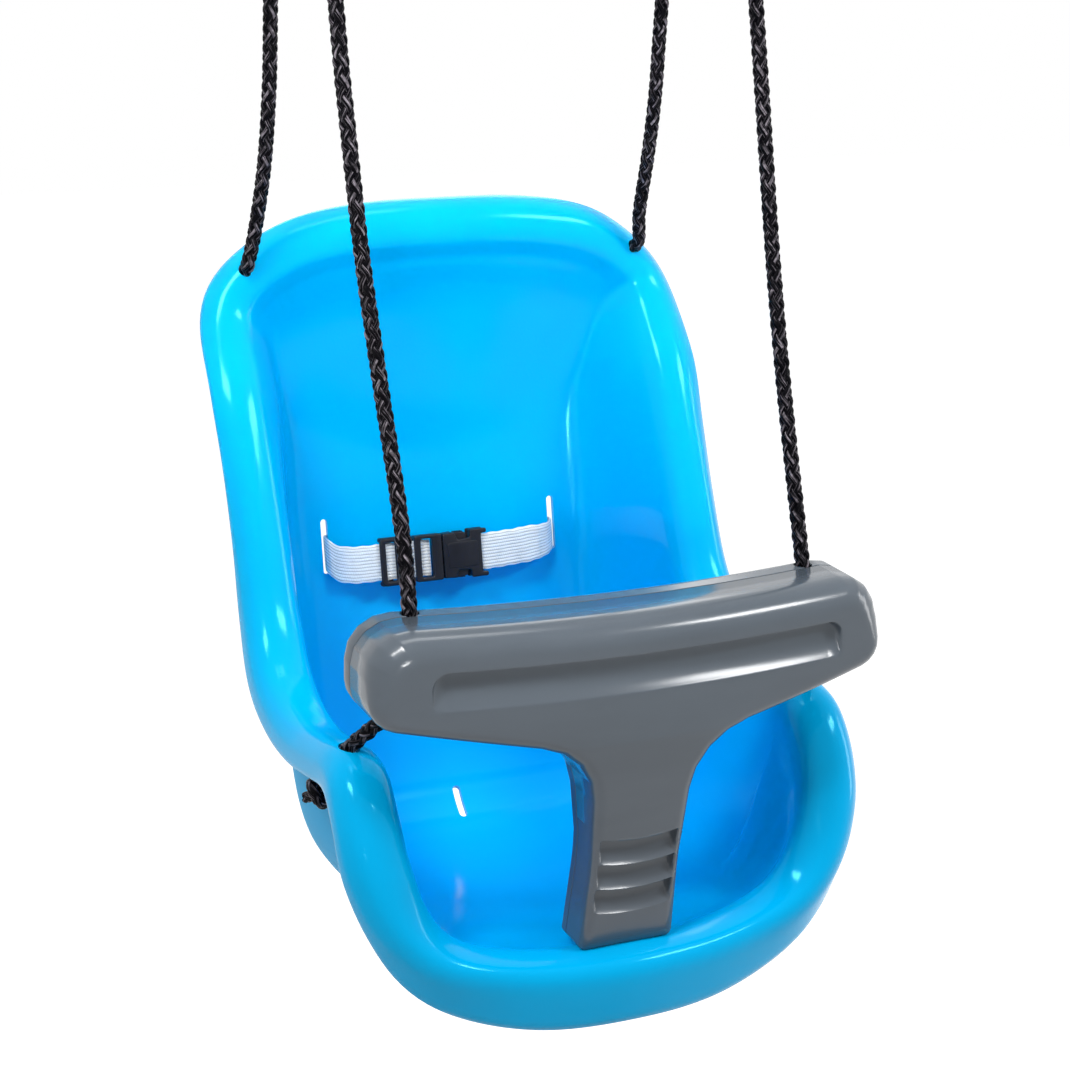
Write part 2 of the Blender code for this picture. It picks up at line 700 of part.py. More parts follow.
def grip_backing():
    # Thicker wall behind the finger grips
    low = GRIP_TOP - GRIP_COUNT * GRIP_PITCH - 0.001
    half = GRIP_HALF_WIDTH + 0.0015
    return box_mesh((-half, BAR_WALL * 0.5, low), (half, GRIP_DEPTH + BAR_WALL, GRIP_TOP + 0.003))


def grip_cutter(index):
    # One stepped finger grip: deep under its upper edge and running out below
    top = GRIP_TOP - index * GRIP_PITCH
    low = top - GRIP_PITCH + 0.0015
    half = GRIP_HALF_WIDTH
    work = bmesh.new()
    section = [(0.0, low), (-0.02, low), (-0.02, top), (GRIP_DEPTH, top), (GRIP_DEPTH * 0.75, top - 0.005)]
    ring = [work.verts.new((-half, y, z)) for y, z in section]
    base = work.faces.new(ring)
    moved = bmesh.ops.extrude_face_region(work, geom=[base])["geom"]
    for item in moved:
        if isinstance(item, bmesh.types.BMVert):
            item.co.x = half
    bmesh.ops.recalc_face_normals(work, faces=work.faces)
    return mesh_of(work, "grip")


def screw_spots():
    return [(-0.105, 0.190), (0.105, 0.190), (-0.045, 0.170), (0.045, 0.170), (0.0, 0.045)]


def rope_channel(side):
    # Straight way for the rope through the bar, in the bar's frame
    line = front_rope_line() * np.array([side, 1, 1])
    rise = unit(line[2] - line[0])
    return Vector(line[0] - rise * 0.05), Vector(line[0] + rise * 0.10)


def build_bar(bar_frame, offset):
    floor = BAR_WALL
    seam_front, seam_rear = BAR_SEAM_DEPTH - TOUCH_GAP / 2, BAR_SEAM_DEPTH + TOUCH_GAP / 2
    front_loops = rounded_loops(0.0, seam_front, BAR_ROUNDING)
    front_loops += rounded_loops(floor, seam_front, BAR_ROUNDING - BAR_WALL, BAR_WALL)[::-1]
    rear_loops = rounded_loops(BAR_THICKNESS, seam_rear, REAR_ROUNDING)
    rear_loops += rounded_loops(BAR_THICKNESS - BAR_WALL, seam_rear, REAR_ROUNDING - BAR_WALL, BAR_WALL)[::-1]
    cutters = [groove_cutter()] + [grip_cutter(index) for index in range(GRIP_COUNT)]
    front = frozen(loft(front_loops), [groove_backing(), grip_backing()], "UNION")
    front, rear = frozen(front, cutters), loft(rear_loops)
    bosses, pillars = [], []
    for x, z in screw_spots():
        bosses.append(rod_mesh((x, floor - 0.0012, z), (x, BAR_SEAM_DEPTH - TOUCH_GAP / 2, z), 0.0045, sides=16))
        pillars.append(
            rod_mesh((x, BAR_SEAM_DEPTH + TOUCH_GAP / 2, z), (x, BAR_THICKNESS - 0.0015, z), 0.0055, sides=16)
        )
    front = frozen(front, bosses, "UNION")
    rear = frozen(rear, pillars, "UNION")
    pilots, clearances = [], []
    for x, z in screw_spots():
        pilots.append(rod_mesh((x, 0.017, z), (x, BAR_SEAM_DEPTH + 0.01, z), 0.0018, sides=12))
        clearances.append(rod_mesh((x, BAR_SEAM_DEPTH - 0.01, z), (x, BAR_THICKNESS + 0.01, z), 0.0018, sides=12))
        clearances.append(
            rod_mesh((x, BAR_THICKNESS - 0.0045, z), (x, BAR_THICKNESS + 0.01, z), 0.0038, sides=12)
        )
    front = frozen(front, pilots)
    rear = frozen(rear, clearances)
    front, rear = bend_mesh(front), bend_mesh(rear)
    channels = []
    lower = rope_lower_route()
    for side in (1, -1):
        low, high = rope_channel(side)
        channels.append(rod_mesh(low, high, ROPE_HOLE_DIAMETER / 2, sides=20))
        tip, hole = [Vector(lower[row] * np.array([side, 1, 1])) for row in (-1, 3)]
        away = (hole - tip).normalized()
        channels.append(rod_mesh(tip - away * 0.003, tip + away * 0.030, ROPE_HOLE_DIAMETER / 2 + 0.001, sides=20))
    front, rear = frozen(front, channels), frozen(rear, channels)
    for name, mesh in (("bar_front_shell", front), ("bar_rear_shell", rear)):
        mesh.transform(Matrix.Translation(-offset))
        shell = link(name, mesh, "bar_grey", bar_frame)
        smooth(shell, 30)
    for index, (x, z) in enumerate(screw_spots()):
        build_bar_screw(f"bar_screw_{index + 1}", x, z, bar_frame, offset)


def build_bar_screw(name, x, z, bar_frame, offset):
    head = rod_mesh((x, BAR_THICKNESS - 0.0042, z), (x, BAR_THICKNESS - 0.0015, z), 0.0035, sides=16)
    shank = rod_mesh((x, 0.019, z), (x, BAR_THICKNESS - 0.0030, z), 0.0015, sides=12)
    slot = box_mesh((x - 0.0022, BAR_THICKNESS - 0.0024, z - 0.0005), (x + 0.0022, BAR_THICKNESS, z + 0.0005))
    cross = box_mesh((x - 0.0005, BAR_THICKNESS - 0.0024, z - 0.0022), (x + 0.0005, BAR_THICKNESS, z + 0.0022))
    mesh = frozen(frozen(head, [shank], "UNION"), [slot, cross])
    for vertex in mesh.vertices:
        vertex.co = Vector(bend_point(*vertex.co))
    mesh.transform(Matrix.Translation(-offset))
    screw = link(name, mesh, "steel", bar_frame)
    smooth(screw, 30)


# Rings, thimbles, ropes and knots
def build_ring(name, side):
    work = bmesh.new()
    turns, sides = 32, 10
    centre = Vector((side * RING_SPACING / 2, 0.0, -RING_RADIUS + RING_WIRE_RADIUS))
    rows = []
    for index in range(turns):
        angle = math.tau * index / turns
        out = Vector((math.cos(angle), 0.0, math.sin(angle)))
        row = []
        for step in range(sides):
            around = math.tau * step / sides
            spot = out * (RING_RADIUS + RING_WIRE_RADIUS * math.cos(around))
            row.append(work.verts.new(centre + spot + Vector((0, RING_WIRE_RADIUS * math.sin(around), 0))))
        rows.append(row)
    for index, row in enumerate(rows):
        other = rows[(index + 1) % turns]
        for step in range(sides):
            work.faces.new((row[step], row[(step + 1) % sides], other[(step + 1) % sides], other[step]))
    bmesh.ops.recalc_face_normals(work, faces=work.faces)
    ring = link(name, mesh_of(work, name), "steel")
    smooth(ring, 60)


def build_thimble(name, side, seat):
    # Grooved saddle that carries the rope and hangs on the ring's wire
    centre = np.array([side * RING_SPACING / 2, HANG_REACH, HANG_HEIGHT])
    floor, bore = THIMBLE_FLOOR, THIMBLE_BORE
    lip = floor + ROPE_DIAMETER * 0.62
    half = ROPE_DIAMETER / 2 + THIMBLE_SIDE_GAP
    outer = THIMBLE_HALF_WIDTH
    section = [
        (bore, -outer), (lip, -outer), (lip, -half), (floor + 0.0012, -half * 0.85),
        (floor, 0.0), (floor + 0.0012, half * 0.85), (lip, half), (lip, outer), (bore, outer),
    ]
    work = bmesh.new()
    steps = 22
    first, last = math.radians(-48.0), math.radians(228.0)
    rows = []
    for index in range(steps + 1):
        angle = first + (last - first) * index / steps
        out = Vector((0.0, math.cos(angle), math.sin(angle)))
        rows.append([work.verts.new(Vector(centre) + out * r + Vector((x, 0, 0))) for r, x in section])
    for row, other in zip(rows, rows[1:]):
        for step in range(len(section)):
            after = (step + 1) % len(section)
            work.faces.new((row[step], row[after], other[after], other[step]))
    work.faces.new(rows[0][::-1])
    work.faces.new(rows[-1])
    bmesh.ops.recalc_face_normals(work, faces=work.faces)
    thimble = link(name, mesh_of(work, name), "steel", seat)
    smooth(thimble, 35)


def build_rope(name, side, seat):
    points, length = rope_points()
    curve = bpy.data.curves.new(name, "CURVE")
    curve.dimensions = "3D"
    curve.bevel_depth = ROPE_DIAMETER / 2
    curve.bevel_resolution = 2
    curve.use_fill_caps = True
    spline = curve.splines.new("POLY")
    spline.points.add(len(points) - 1)
    for spot, point in zip(points, spline.points):
        point.co = (side * spot[0], spot[1], spot[2], 1.0)
    link(name, curve, "rope_black", seat)
    return points, length


def build_knot(name, centre, away, seat):
    # Tight stopper knot with a short tail, pressed against the shell
    away = Vector(away).normalized()
    work = bmesh.new()
    turn = away.to_track_quat("Z", "Y").to_matrix().to_4x4()
    bmesh.ops.create_uvsphere(
        work, u_segments=14, v_segments=9, radius=KNOT_DIAMETER / 2,
        matrix=Matrix.Translation(centre) @ turn @ Matrix.Diagonal((1.0, 0.92, 0.80, 1.0)),
    )
    ball = mesh_of(work, "ball")
    tail = rod_mesh(
        Vector(centre) + away * 0.004, Vector(centre) + away * (KNOT_DIAMETER / 2 + 0.012),
        ROPE_DIAMETER / 2 * 0.95, sides=12,
    )
    knot = link(name, frozen(ball, [tail], "UNION"), "rope_black", seat)
    smooth(knot, 45)


def build_ropes(seat):
    points, length = None, None
    for label, side in (("left", -1), ("right", 1)):
        build_ring(f"ring_{label}", side)
        build_thimble(f"thimble_{label}", side, seat)
        points, length = build_rope(f"rope_{label}", side, seat)
        mirror = np.array([side, 1, 1])
        for end, (tip, inner) in (("front", (points[0], points[1])), ("rear", (points[-1], points[-2]))):
            away = unit(tip - inner) * mirror
            centre = tip * mirror + away * (KNOT_DIAMETER / 2 * 0.80 + TOUCH_GAP)
            build_knot(f"knot_{end}_{label}", centre, away, seat)
    print("rope length", round(length, 4))


# Lap belt
def build_belt(belt):
    half = WEBBING_WIDTH / 2
    half_thick = WEBBING_THICKNESS / 2
    centre, along, through = belt_slot_points()
    slot = belt.matrix_basis.inverted() @ Vector(centre)
    slot_x = BELT_SLOT_SPACING / 2 - 0.0004

    def behind(x, extra=0.0):
        # Place just behind the dished panel
        dish = PAN_DISH * (BELT_SLOT_SPACING ** 2 / 4 - x ** 2) / FLAT_HALF_WIDTH ** 2
        return slot.y + dish + SHELL_THICKNESS + half_thick + TOUCH_GAP + 0.0005 + extra

    left_end = BUCKLE_JOINT - MALE_LENGTH + 0.0120
    right_end = BUCKLE_JOINT + FEMALE_LENGTH - 0.0072
    lift = slot.z - WEBBING_DROP
    route = [
        (right_end, 0.0, 0.0), (right_end + 0.014, 0.0, 0.0), (slot_x * 0.678, 0.0012, lift * 0.4),
        (slot_x * 0.896, slot.y - 0.0060, lift * 0.9), (slot_x - 0.0022, slot.y - 0.0030, lift),
        (slot_x, slot.y + 0.0010, lift), (slot_x - 0.0006, behind(slot_x, -0.0010), lift),
        (slot_x - 0.0036, behind(slot_x - 0.0036, 0.0004), lift), (slot_x - 0.012, behind(slot_x - 0.012), lift),
    ]
    left = [
        (left_end, 0.0, 0.0), (SLIDER_CENTRE + 0.0125, 0.0, 0.0), (SLIDER_CENTRE - 0.0125, 0.0, 0.0),
        (SLIDER_CENTRE - 0.0215, 0.0, 0.0), (-slot_x * 0.926, slot.y - 0.0055, lift * 0.9),
        (-slot_x + 0.0022, slot.y - 0.0030, lift), (-slot_x, slot.y + 0.0010, lift),
        (-slot_x + 0.0006, behind(slot_x, -0.0010), lift),
        (-slot_x + 0.0036, behind(slot_x - 0.0036, 0.0004), lift),
        (-slot_x + 0.012, behind(slot_x - 0.012), lift),
    ]
    middle = [(x, behind(x), lift) for x in (0.045, 0.015, -0.015, -0.045)]
    path = route + middle + left[::-1]
    spots = smooth_points(path, np.linspace(0, len(path) - 1, 3 * (len(path) - 1) + 1))
    length = float(np.linalg.norm(np.diff(spots, axis=0), axis=1).sum())
    print("belt length", round(length, 4))
    work = bmesh.new()
    rows = []
    for index, spot in enumerate(spots):
        before, after = spots[max(index - 1, 0)], spots[min(index + 1, len(spots) - 1)]
        tangent = unit((after - before) * np.array([1, 1, 0]))
        normal = np.array([-tangent[1], tangent[0], 0.0])
        row = []
        for across, high in ((1, -half), (1, half), (-1, half), (-1, -half)):
            row.append(work.verts.new(spot + normal * half_thick * across + np.array([0, 0, high])))
        rows.append(row)
    for row, other in zip(rows, rows[1:]):
        for step in range(4):
            after = (step + 1) % 4
            work.faces.new((row[step], row[after], other[after], other[step]))
    work.faces.new(rows[0][::-1])
    work.faces.new(rows[-1])
    bmesh.ops.recalc_face_normals(work, faces=work.faces)
    link("belt_webbing", mesh_of(work, "belt_webbing"), "webbing_white", belt)


def build_slider(frame):
    # Three-bar slider: side bars in front of the webbing, middle bar behind it
    wide, high = SLIDER_WIDTH / 2, SLIDER_HEIGHT / 2
    clear = WEBBING_THICKNESS / 2 + SLIDE_GAP
    deep = clear + 0.0024
    window = WEBBING_WIDTH / 2 + 0.0008
    outer = box_mesh((-wide, -deep, -high), (wide, deep, high), bevel=0.0012)
    tunnel = box_mesh((-wide - 0.01, -clear, -window), (wide + 0.01, clear, window))
    front_window = box_mesh((-wide + 0.0042, -deep - 0.01, -window), (wide - 0.0042, 0.0, window))
    rear_left = box_mesh((-wide - 0.01, 0.0, -window), (-0.0020, deep + 0.01, window))
    rear_right = box_mesh((0.0020, 0.0, -window), (wide + 0.01, deep + 0.01, window))
    mesh = frozen(outer, [tunnel, front_window, rear_left, rear_right])
    smooth(link("belt_slider", mesh, "buckle_black", frame), 30)


def build_buckle_female(belt):
    x0 = BUCKLE_JOINT + TOUCH_GAP
    x1 = BUCKLE_JOINT + FEMALE_LENGTH
    high, deep = BUCKLE_HEIGHT / 2, BUCKLE_THICKNESS / 2
    outer = box_mesh((x0, -deep, -high), (x1, deep, high), bevel=0.0018)
    cavity = box_mesh((x0 - 0.01, -0.0038, -high + 0.0024), (x0 + 0.0195, 0.0038, high - 0.0024))
    windows = [
        box_mesh((x0 + 0.0075, -0.0038, side * (high - 0.004) - 0.006), (x0 + 0.0180, 0.0038, side * (high - 0.004) + 0.006))
        for side in (-1, 1)
    ]
    window = WEBBING_WIDTH / 2 + 0.0008
    clear = WEBBING_THICKNESS / 2 + TOUCH_GAP
    tail = box_mesh((x0 + 0.0240, -clear, -window), (x1 + 0.01, deep + 0.01, window))
    web_window = box_mesh((x0 + 0.0240, -deep - 0.01, -window), (x1 - 0.0032, 0.0, window))
    mesh = frozen(outer, [cavity] + windows + [tail, web_window])
    smooth(link("buckle_female", mesh, "buckle_black", belt), 30)


def build_buckle_male(belt):
    x1 = BUCKLE_JOINT
    x0 = BUCKLE_JOINT - MALE_LENGTH
    high, deep = BUCKLE_HEIGHT / 2, 0.0045
    window = WEBBING_WIDTH / 2 + 0.0008
    clear = WEBBING_THICKNESS / 2 + TOUCH_GAP
    frame = box_mesh((x0, -deep, -high), (x1, deep, high), bevel=0.0015)
    tunnel = box_mesh((x0 - 0.01, -clear, -window), (x1 - 0.0077, clear, window))
    front_window = box_mesh((x0 + 0.0042, -deep - 0.01, -window), (x1 - 0.0077, 0.0, window))
    rear_window = box_mesh((x0 - 0.01, 0.0, -window), (x1 - 0.0125, deep + 0.01, window))
    tongue = box_mesh((x1 - 0.003, -0.0030, -0.0034), (x1 + 0.0165, 0.0030, 0.0034), bevel=0.0008)
    mesh = frozen(frozen(frame, [tunnel, front_window, rear_window]), [tongue], "UNION")
    smooth(link("buckle_male", mesh, "buckle_black", belt), 30)


def build_prong(name, side, frame):
    # Spring arm with its thumb pad; the frame sits at the arm's root
    section = [
        (0.0, 0.0066), (0.0172, 0.0066), (0.0188, 0.0085), (0.0174, 0.0150),
        (0.0085, 0.0158), (0.0078, 0.0100), (0.0, 0.0096),
    ]
    work = bmesh.new()
    ring = [work.verts.new((TOUCH_GAP + x, -0.0030, z - 0.0066)) for x, z in section]
    base = work.faces.new(ring)
    moved = bmesh.ops.extrude_face_region(work, geom=[base])["geom"]
    for item in moved:
        if isinstance(item, bmesh.types.BMVert):
            item.co.y = 0.0030
    for vertex in work.verts:
        vertex.co.z *= side
    bmesh.ops.recalc_face_normals(work, faces=work.faces)
    bmesh.ops.bevel(work, geom=list(work.edges), offset=0.0005, segments=1, affect="EDGES")
    smooth(link(name, mesh_of(work, name), "buckle_black", frame), 30)


def main():
    clear_scene()
    axis_frame = empty("swing_axis", (0.0, 0.0, -AXIS_DROP), (math.radians(SEAT_TILT), 0, 0))
    seat = empty("seat_frame", (0.0, -HANG_REACH, -THIMBLE_DROP - HANG_HEIGHT), parent=axis_frame)
    build_shell(seat)
    build_ropes(seat)

    bar_origin = Vector((0.0, 0.0, BAR_GROOVE_HEIGHT))
    bar_frame = empty("bar_frame", bar_origin, parent=seat)
    build_bar(bar_frame, bar_origin)

    slot, along, through = belt_slot_points()
    lean = math.atan2(along[1], along[2]) + math.radians(BELT_EXTRA_LEAN)
    belt = empty("belt_frame", (0.0, slot[1] - BELT_STANDOFF, BELT_HEIGHT), (-lean, 0, 0), seat)
    build_belt(belt)
    build_slider(empty("slider_frame", (SLIDER_CENTRE, 0.0, 0.0), parent=belt))
    build_buckle_female(belt)
    build_buckle_male(belt)
    build_prong("prong_upper", 1, empty("prong_upper_frame", (BUCKLE_JOINT, 0.0, 0.0066), parent=belt))
    build_prong("prong_lower", -1, empty("prong_lower_frame", (BUCKLE_JOINT, 0.0, -0.0066), parent=belt))


main()
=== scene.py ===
import math
import bmesh
import bpy
import numpy as np
from mathutils import Matrix, Vector
from mathutils.bvhtree import BVHTree
from mathutils.geometry import delaunay_2d_cdt


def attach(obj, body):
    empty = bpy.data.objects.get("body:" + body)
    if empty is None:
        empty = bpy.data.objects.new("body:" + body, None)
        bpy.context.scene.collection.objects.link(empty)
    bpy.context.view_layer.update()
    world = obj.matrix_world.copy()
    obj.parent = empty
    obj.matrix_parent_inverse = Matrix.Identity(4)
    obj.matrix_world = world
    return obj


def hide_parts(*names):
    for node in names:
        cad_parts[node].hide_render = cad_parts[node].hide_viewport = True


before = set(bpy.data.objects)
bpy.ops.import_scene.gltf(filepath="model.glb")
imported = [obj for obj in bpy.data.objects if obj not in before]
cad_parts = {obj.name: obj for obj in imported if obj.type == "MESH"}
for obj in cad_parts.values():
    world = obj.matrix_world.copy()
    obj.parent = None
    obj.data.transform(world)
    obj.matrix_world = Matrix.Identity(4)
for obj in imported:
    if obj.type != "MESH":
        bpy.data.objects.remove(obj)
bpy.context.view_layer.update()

# Rings, thimbles and ropes; all sizes are in metres
RING_WIRE_RADIUS = 0.0035
RING_RADIUS = 0.0235
RING_SPACING = 0.260
HANG_HEIGHT = 0.785
HANG_REACH = 0.2100
# Degrees by which the hanging seat is tipped forward
SEAT_TILT = 3.0
THIMBLE_ROPE_RADIUS = 0.0200
THIMBLE_WALL = 0.0025
THIMBLE_CHEEK = 0.0020
ROPE_DIAMETER = 0.008
ROPE_HOLE_DIAMETER = ROPE_DIAMETER + 0.003
KNOT_DIAMETER = 0.0215
# Knots: gap between turns, half length kept, and rounds of drawing tight
KNOT_GAP = 0.0068
KNOT_REACH = 0.0115
KNOT_DRAWS = 420

# Seat shell
SHELL_THICKNESS = 0.0035
RIM_HALF_WIDTH = 0.1525
BACK_TOP = 0.3813
BACK_RIM_DEPTH = 0.300
ARM_HEIGHT = 0.115
ARM_NOSE_RISE = 0.007
PAN_SINK = 0.037
FLAT_HALF_WIDTH = 0.088
BACK_PANEL_DEPTH = 0.325
PAN_DISH = 0.004
RIM_INSIDE = 0.022
RIM_OUTSIDE = 0.0175
SKIRT_DROP = 0.023
APRON_DROP = 0.0417
RIM_SINK = 0.018
WALL_FULLNESS = 0.62
TOP_FULLNESS = 0.45
CREST_FULLNESS = 0.35
BELT_SLOT_SPACING = 0.166
BELT_SLOT_HEIGHT = 0.0375
BELT_SLOT_WIDTH = 0.0048
BELT_SLOT_CENTRE = 0.1615
DRAIN_LENGTH = 0.024
DRAIN_WIDTH = 0.0055

# T-bar
BAR_HALF_LENGTH = 0.1585
BAR_TOP = 0.2090
BAR_END_BOTTOM = 0.157
BAR_TOP_TURN = 0.026
BAR_END_TURN = 0.0165
BAR_BOW = 0.018
BAR_THICKNESS = 0.058
BAR_SEAM_DEPTH = 0.039
BAR_WALL = 0.0030
BAR_ROUNDING = 0.016
REAR_ROUNDING = 0.010
POST_HALF_WIDTH = 0.0280
POST_THICKNESS = 0.034
FOOT_HALF_WIDTH = 0.0300
FOOT_SETBACK = 0.008
FOOT_BOTTOM = -0.0024
BAR_GROOVE_HALF_LENGTH = 0.127
BAR_GROOVE_DROP = 0.0318
BAR_GROOVE_WIDTH = 0.0225
BAR_GROOVE_DEPTH = 0.0070
GROOVE_CORNER = 0.0105
GROOVE_FILLET = 0.0024
LOWER_ROUNDING = 0.0070
GRIP_COUNT = 3
GRIP_TOP = 0.0745
GRIP_PITCH = 0.0168
GRIP_HALF_WIDTH = 0.0250
GRIP_DEPTH = 0.0060
GRIP_BOW = 0.0030
# The post is thin up to a height and thickens over the next stretch
THIN_UP_TO, THICKEN_OVER = 0.070, 0.075
SCREW_SPOTS = ((-0.105, 0.190), (0.105, 0.190), (-0.045, 0.170), (0.045, 0.170), (0.0, 0.045))
SCREW_DEPTH = 0.0016
SCREW_RECESS = 0.0014

# Lap belt, slider and buckle
WEBBING_WIDTH = 0.025
WEBBING_THICKNESS = 0.0016
WEBBING_DROP = 0.0050
WEBBING_PLAY = 0.0008
FOLD_WIDTH = WEBBING_WIDTH - 0.0008
# Yarn pitches of the weave across and along it
WARP_PITCH, WEFT_PITCH = 0.0022, 0.0016
# Distances from the middle at which the webbing ripples and is drawn together, each with its reach
SLACK_AT, SLACK_REACH = 0.055, 0.022
TIGHT_AT, TIGHT_REACH = 0.081, 0.022
TIGHT_SHARE = 0.16
BELT_HEIGHT = 0.151
BELT_STANDOFF = 0.0146
BELT_EXTRA_LEAN = 1.45
BUCKLE_HEIGHT = 0.032
BUCKLE_THICKNESS = 0.011
BUCKLE_JOINT = -0.005
BUCKLE_BAR_INSET = 0.0072
FEMALE_LENGTH = 0.032
MALE_LENGTH = 0.020
SLIDER_WIDTH = 0.015
SLIDER_HEIGHT = 0.033
SLIDER_CENTRE = -0.042

# Gaps, and what follows from the sizes
TOUCH_GAP = 0.0003
SLIDE_GAP = 0.0004
AXIS_DROP = 2 * RING_RADIUS - RING_WIRE_RADIUS
THIMBLE_FLOOR = THIMBLE_ROPE_RADIUS - ROPE_DIAMETER / 2 - 2 * TOUCH_GAP
THIMBLE_BORE = THIMBLE_FLOOR - THIMBLE_WALL
THIMBLE_SIDE_GAP = 2 * TOUCH_GAP
THIMBLE_HALF_WIDTH = ROPE_DIAMETER / 2 + THIMBLE_SIDE_GAP + THIMBLE_CHEEK
RING_RISE = RING_RADIUS - math.sqrt(RING_RADIUS ** 2 - THIMBLE_HALF_WIDTH ** 2)
PUNCH_REACH = 3.5 * SHELL_THICKNESS
THIMBLE_DROP = THIMBLE_BORE - RING_WIRE_RADIUS - TOUCH_GAP - RING_RISE
BAR_GROOVE_HEIGHT = BAR_TOP - BAR_GROOVE_DROP

# Places along the midline and the rim's stations, with shifts outward
SPINE_TOP, SPINE_FRONT = 1.0, 9.3
REAR_HOLE_PLACE, REAR_HOLE_SHIFT = 3.05, 0.004
ARM_HOLE_PLACE, ARM_HOLE_SHIFT = 13.10, -0.002
DRAIN_PLACE = 5.35
# Places on the midline over which the rim eases at the head of the back and its wall fills out
EASE_START, EASE_LENGTH = 1.1, 2.6
HEAD_LENGTH = 0.9
# Share of the flat that gives the way in which its edge leaves it
EDGE_SHARE = 0.97
# Heights over which the back's own line gives way to the gentler one
HEAD_EASE_START, HEAD_EASE_BLEND = 0.175, 0.03
# Distances behind the seating side over which the shell's finish turns to that of its outside
OUTSIDE_START, OUTSIDE_BLEND = 0.0012, 0.0014
REAR_HOLE_RISE = 0.0015
REAR_PUNCH_REACH = 0.02
REAR_HOLE_RADIUS = ROPE_DIAMETER / 2 + 0.0003
SIDES = (("left", -1), ("right", 1))

# Fineness of the meshes
SHELL_COLUMNS, FLAT_ROWS, WALL_ROWS, RIM_ROWS = 104, 8, 12, 16
BAR_EDGE_STEP, BAR_GRID_STEP = 0.0016, 0.0017
ROPE_STEP, KNOT_STEP = 0.004, 0.0016
# Width of the fibre map around one strand
LAY_WIDTH = 0.008

# Stage and lamps
FLOOR_LEVEL = -1.45
LAMP_REACH = 2.0

# Seat at rest in the frame of the rings
SEAT = (
    Matrix.Translation((0.0, 0.0, -AXIS_DROP)) @ Matrix.Rotation(math.radians(SEAT_TILT), 4, "X")
    @ Matrix.Translation((0.0, -HANG_REACH, -THIMBLE_DROP - HANG_HEIGHT))
)


# Camera where the photograph was taken from
def build_camera():
    azimuth, elevation, roll = math.radians(22.95), math.radians(16.72), math.radians(0.53)
    data = bpy.data.cameras.new("camera")
    data.sensor_width = 36.0
    data.lens = 74.02
    data.clip_start = 0.05
    data.clip_end = 60.0
    camera = link("camera", data)
    place = Matrix.Translation((-0.5076, -1.0457, 0.5993))
    turn = Matrix.Rotation(-azimuth, 4, "Z") @ Matrix.Rotation(math.pi / 2 - elevation, 4, "X")
    camera.matrix_world = SEAT @ place @ turn @ Matrix.Rotation(roll, 4, "Z")
    bpy.context.scene.camera = camera


# Finishes
class Field:
    # A value in a node tree, with arithmetic
    def __init__(self, nodes, socket):
        self.nodes = nodes
        self.socket = socket

    def work(self, operation, *values):
        return self.nodes.node("ShaderNodeMath", {"operation": operation}, dict(enumerate(values)))

    def also(self, output):
        # Another output of the same node
        return Field(self.nodes, self.socket.node.outputs[output])

    def __add__(self, other):
        return self.work("ADD", self, other)

    def __radd__(self, other):
        return self.work("ADD", other, self)

    def __sub__(self, other):
        return self.work("SUBTRACT", self, other)

    def __rsub__(self, other):
        return self.work("SUBTRACT", other, self)

    def __mul__(self, other):
        return self.work("MULTIPLY", self, other)

    def __rmul__(self, other):
        return self.work("MULTIPLY", other, self)

    def __truediv__(self, other):
        return self.work("DIVIDE", self, other)

    def __rtruediv__(self, other):
        return self.work("DIVIDE", other, self)

    def sine(self):
        return self.work("SINE", self)

    def cosine(self):
        return self.work("COSINE", self)

    def size(self):
        return self.work("ABSOLUTE", self)

    def between(self, low, high):
        # From 0 at low to 1 at high, held at both ends
        inputs = {"Value": self, "From Min": low, "From Max": high, "To Min": 0.0, "To Max": 1.0}
        return self.nodes.node("ShaderNodeMapRange", {"interpolation_type": "SMOOTHSTEP"}, inputs)


class Nodes:
    # A node tree that is built by calls
    def __init__(self, tree):
        self.tree = tree

    def feed(self, socket, value):
        if isinstance(value, Field):
            self.tree.links.new(value.socket, socket)
        else:
            socket.default_value = value

    def node(self, kind, settings=None, inputs=None, output=0):
        made = self.tree.nodes.new(kind)
        for key, value in (settings or {}).items():
            setattr(made, key, value)
        for key, value in (inputs or {}).items():
            self.feed(made.inputs[key], value)
        return Field(self, made.outputs[output])


class Finish(Nodes):
    # One material with its shader
    def __init__(self, name, colour, roughness, **fixed):
        self.material = bpy.data.materials.new(name)
        self.material.use_nodes = True
        super().__init__(self.material.node_tree)
        self.shader = self.tree.nodes["Principled BSDF"]
        self.colour((*colour, 1.0))
        self.roughness(roughness)
        for key, value in fixed.items():
            self.feed(self.shader.inputs[key.replace("_", " ")], value)

    def place(self, scale=(1.0, 1.0, 1.0)):
        # Position on the object, stretched by the scale
        spot = self.node("ShaderNodeTexCoord", output=3)
        return self.node("ShaderNodeMapping", {}, {"Vector": spot, "Scale": scale})

    def noise(self, place, scale, detail=2.0):
        return self.node("ShaderNodeTexNoise", {}, {"Vector": place, "Scale": scale, "Detail": detail})

    def mixed(self, share, first, second):
        # Colour from the first to the second
        return self.node("ShaderNodeMix", {"data_type": "RGBA"}, {0: share, 6: first, 7: second}, output=2)

    def colour(self, value):
        self.feed(self.shader.inputs["Base Color"], value)

    def roughness(self, value):
        self.feed(self.shader.inputs["Roughness"], value)

    def relief(self, height, distance):
        bump = self.node("ShaderNodeBump", {}, {"Height": height, "Distance": distance, "Strength": 1.0})
        self.feed(self.shader.inputs["Normal"], bump)


def tint(colour, share):
    return tuple(channel * share for channel in colour[:3]) + (1.0,)


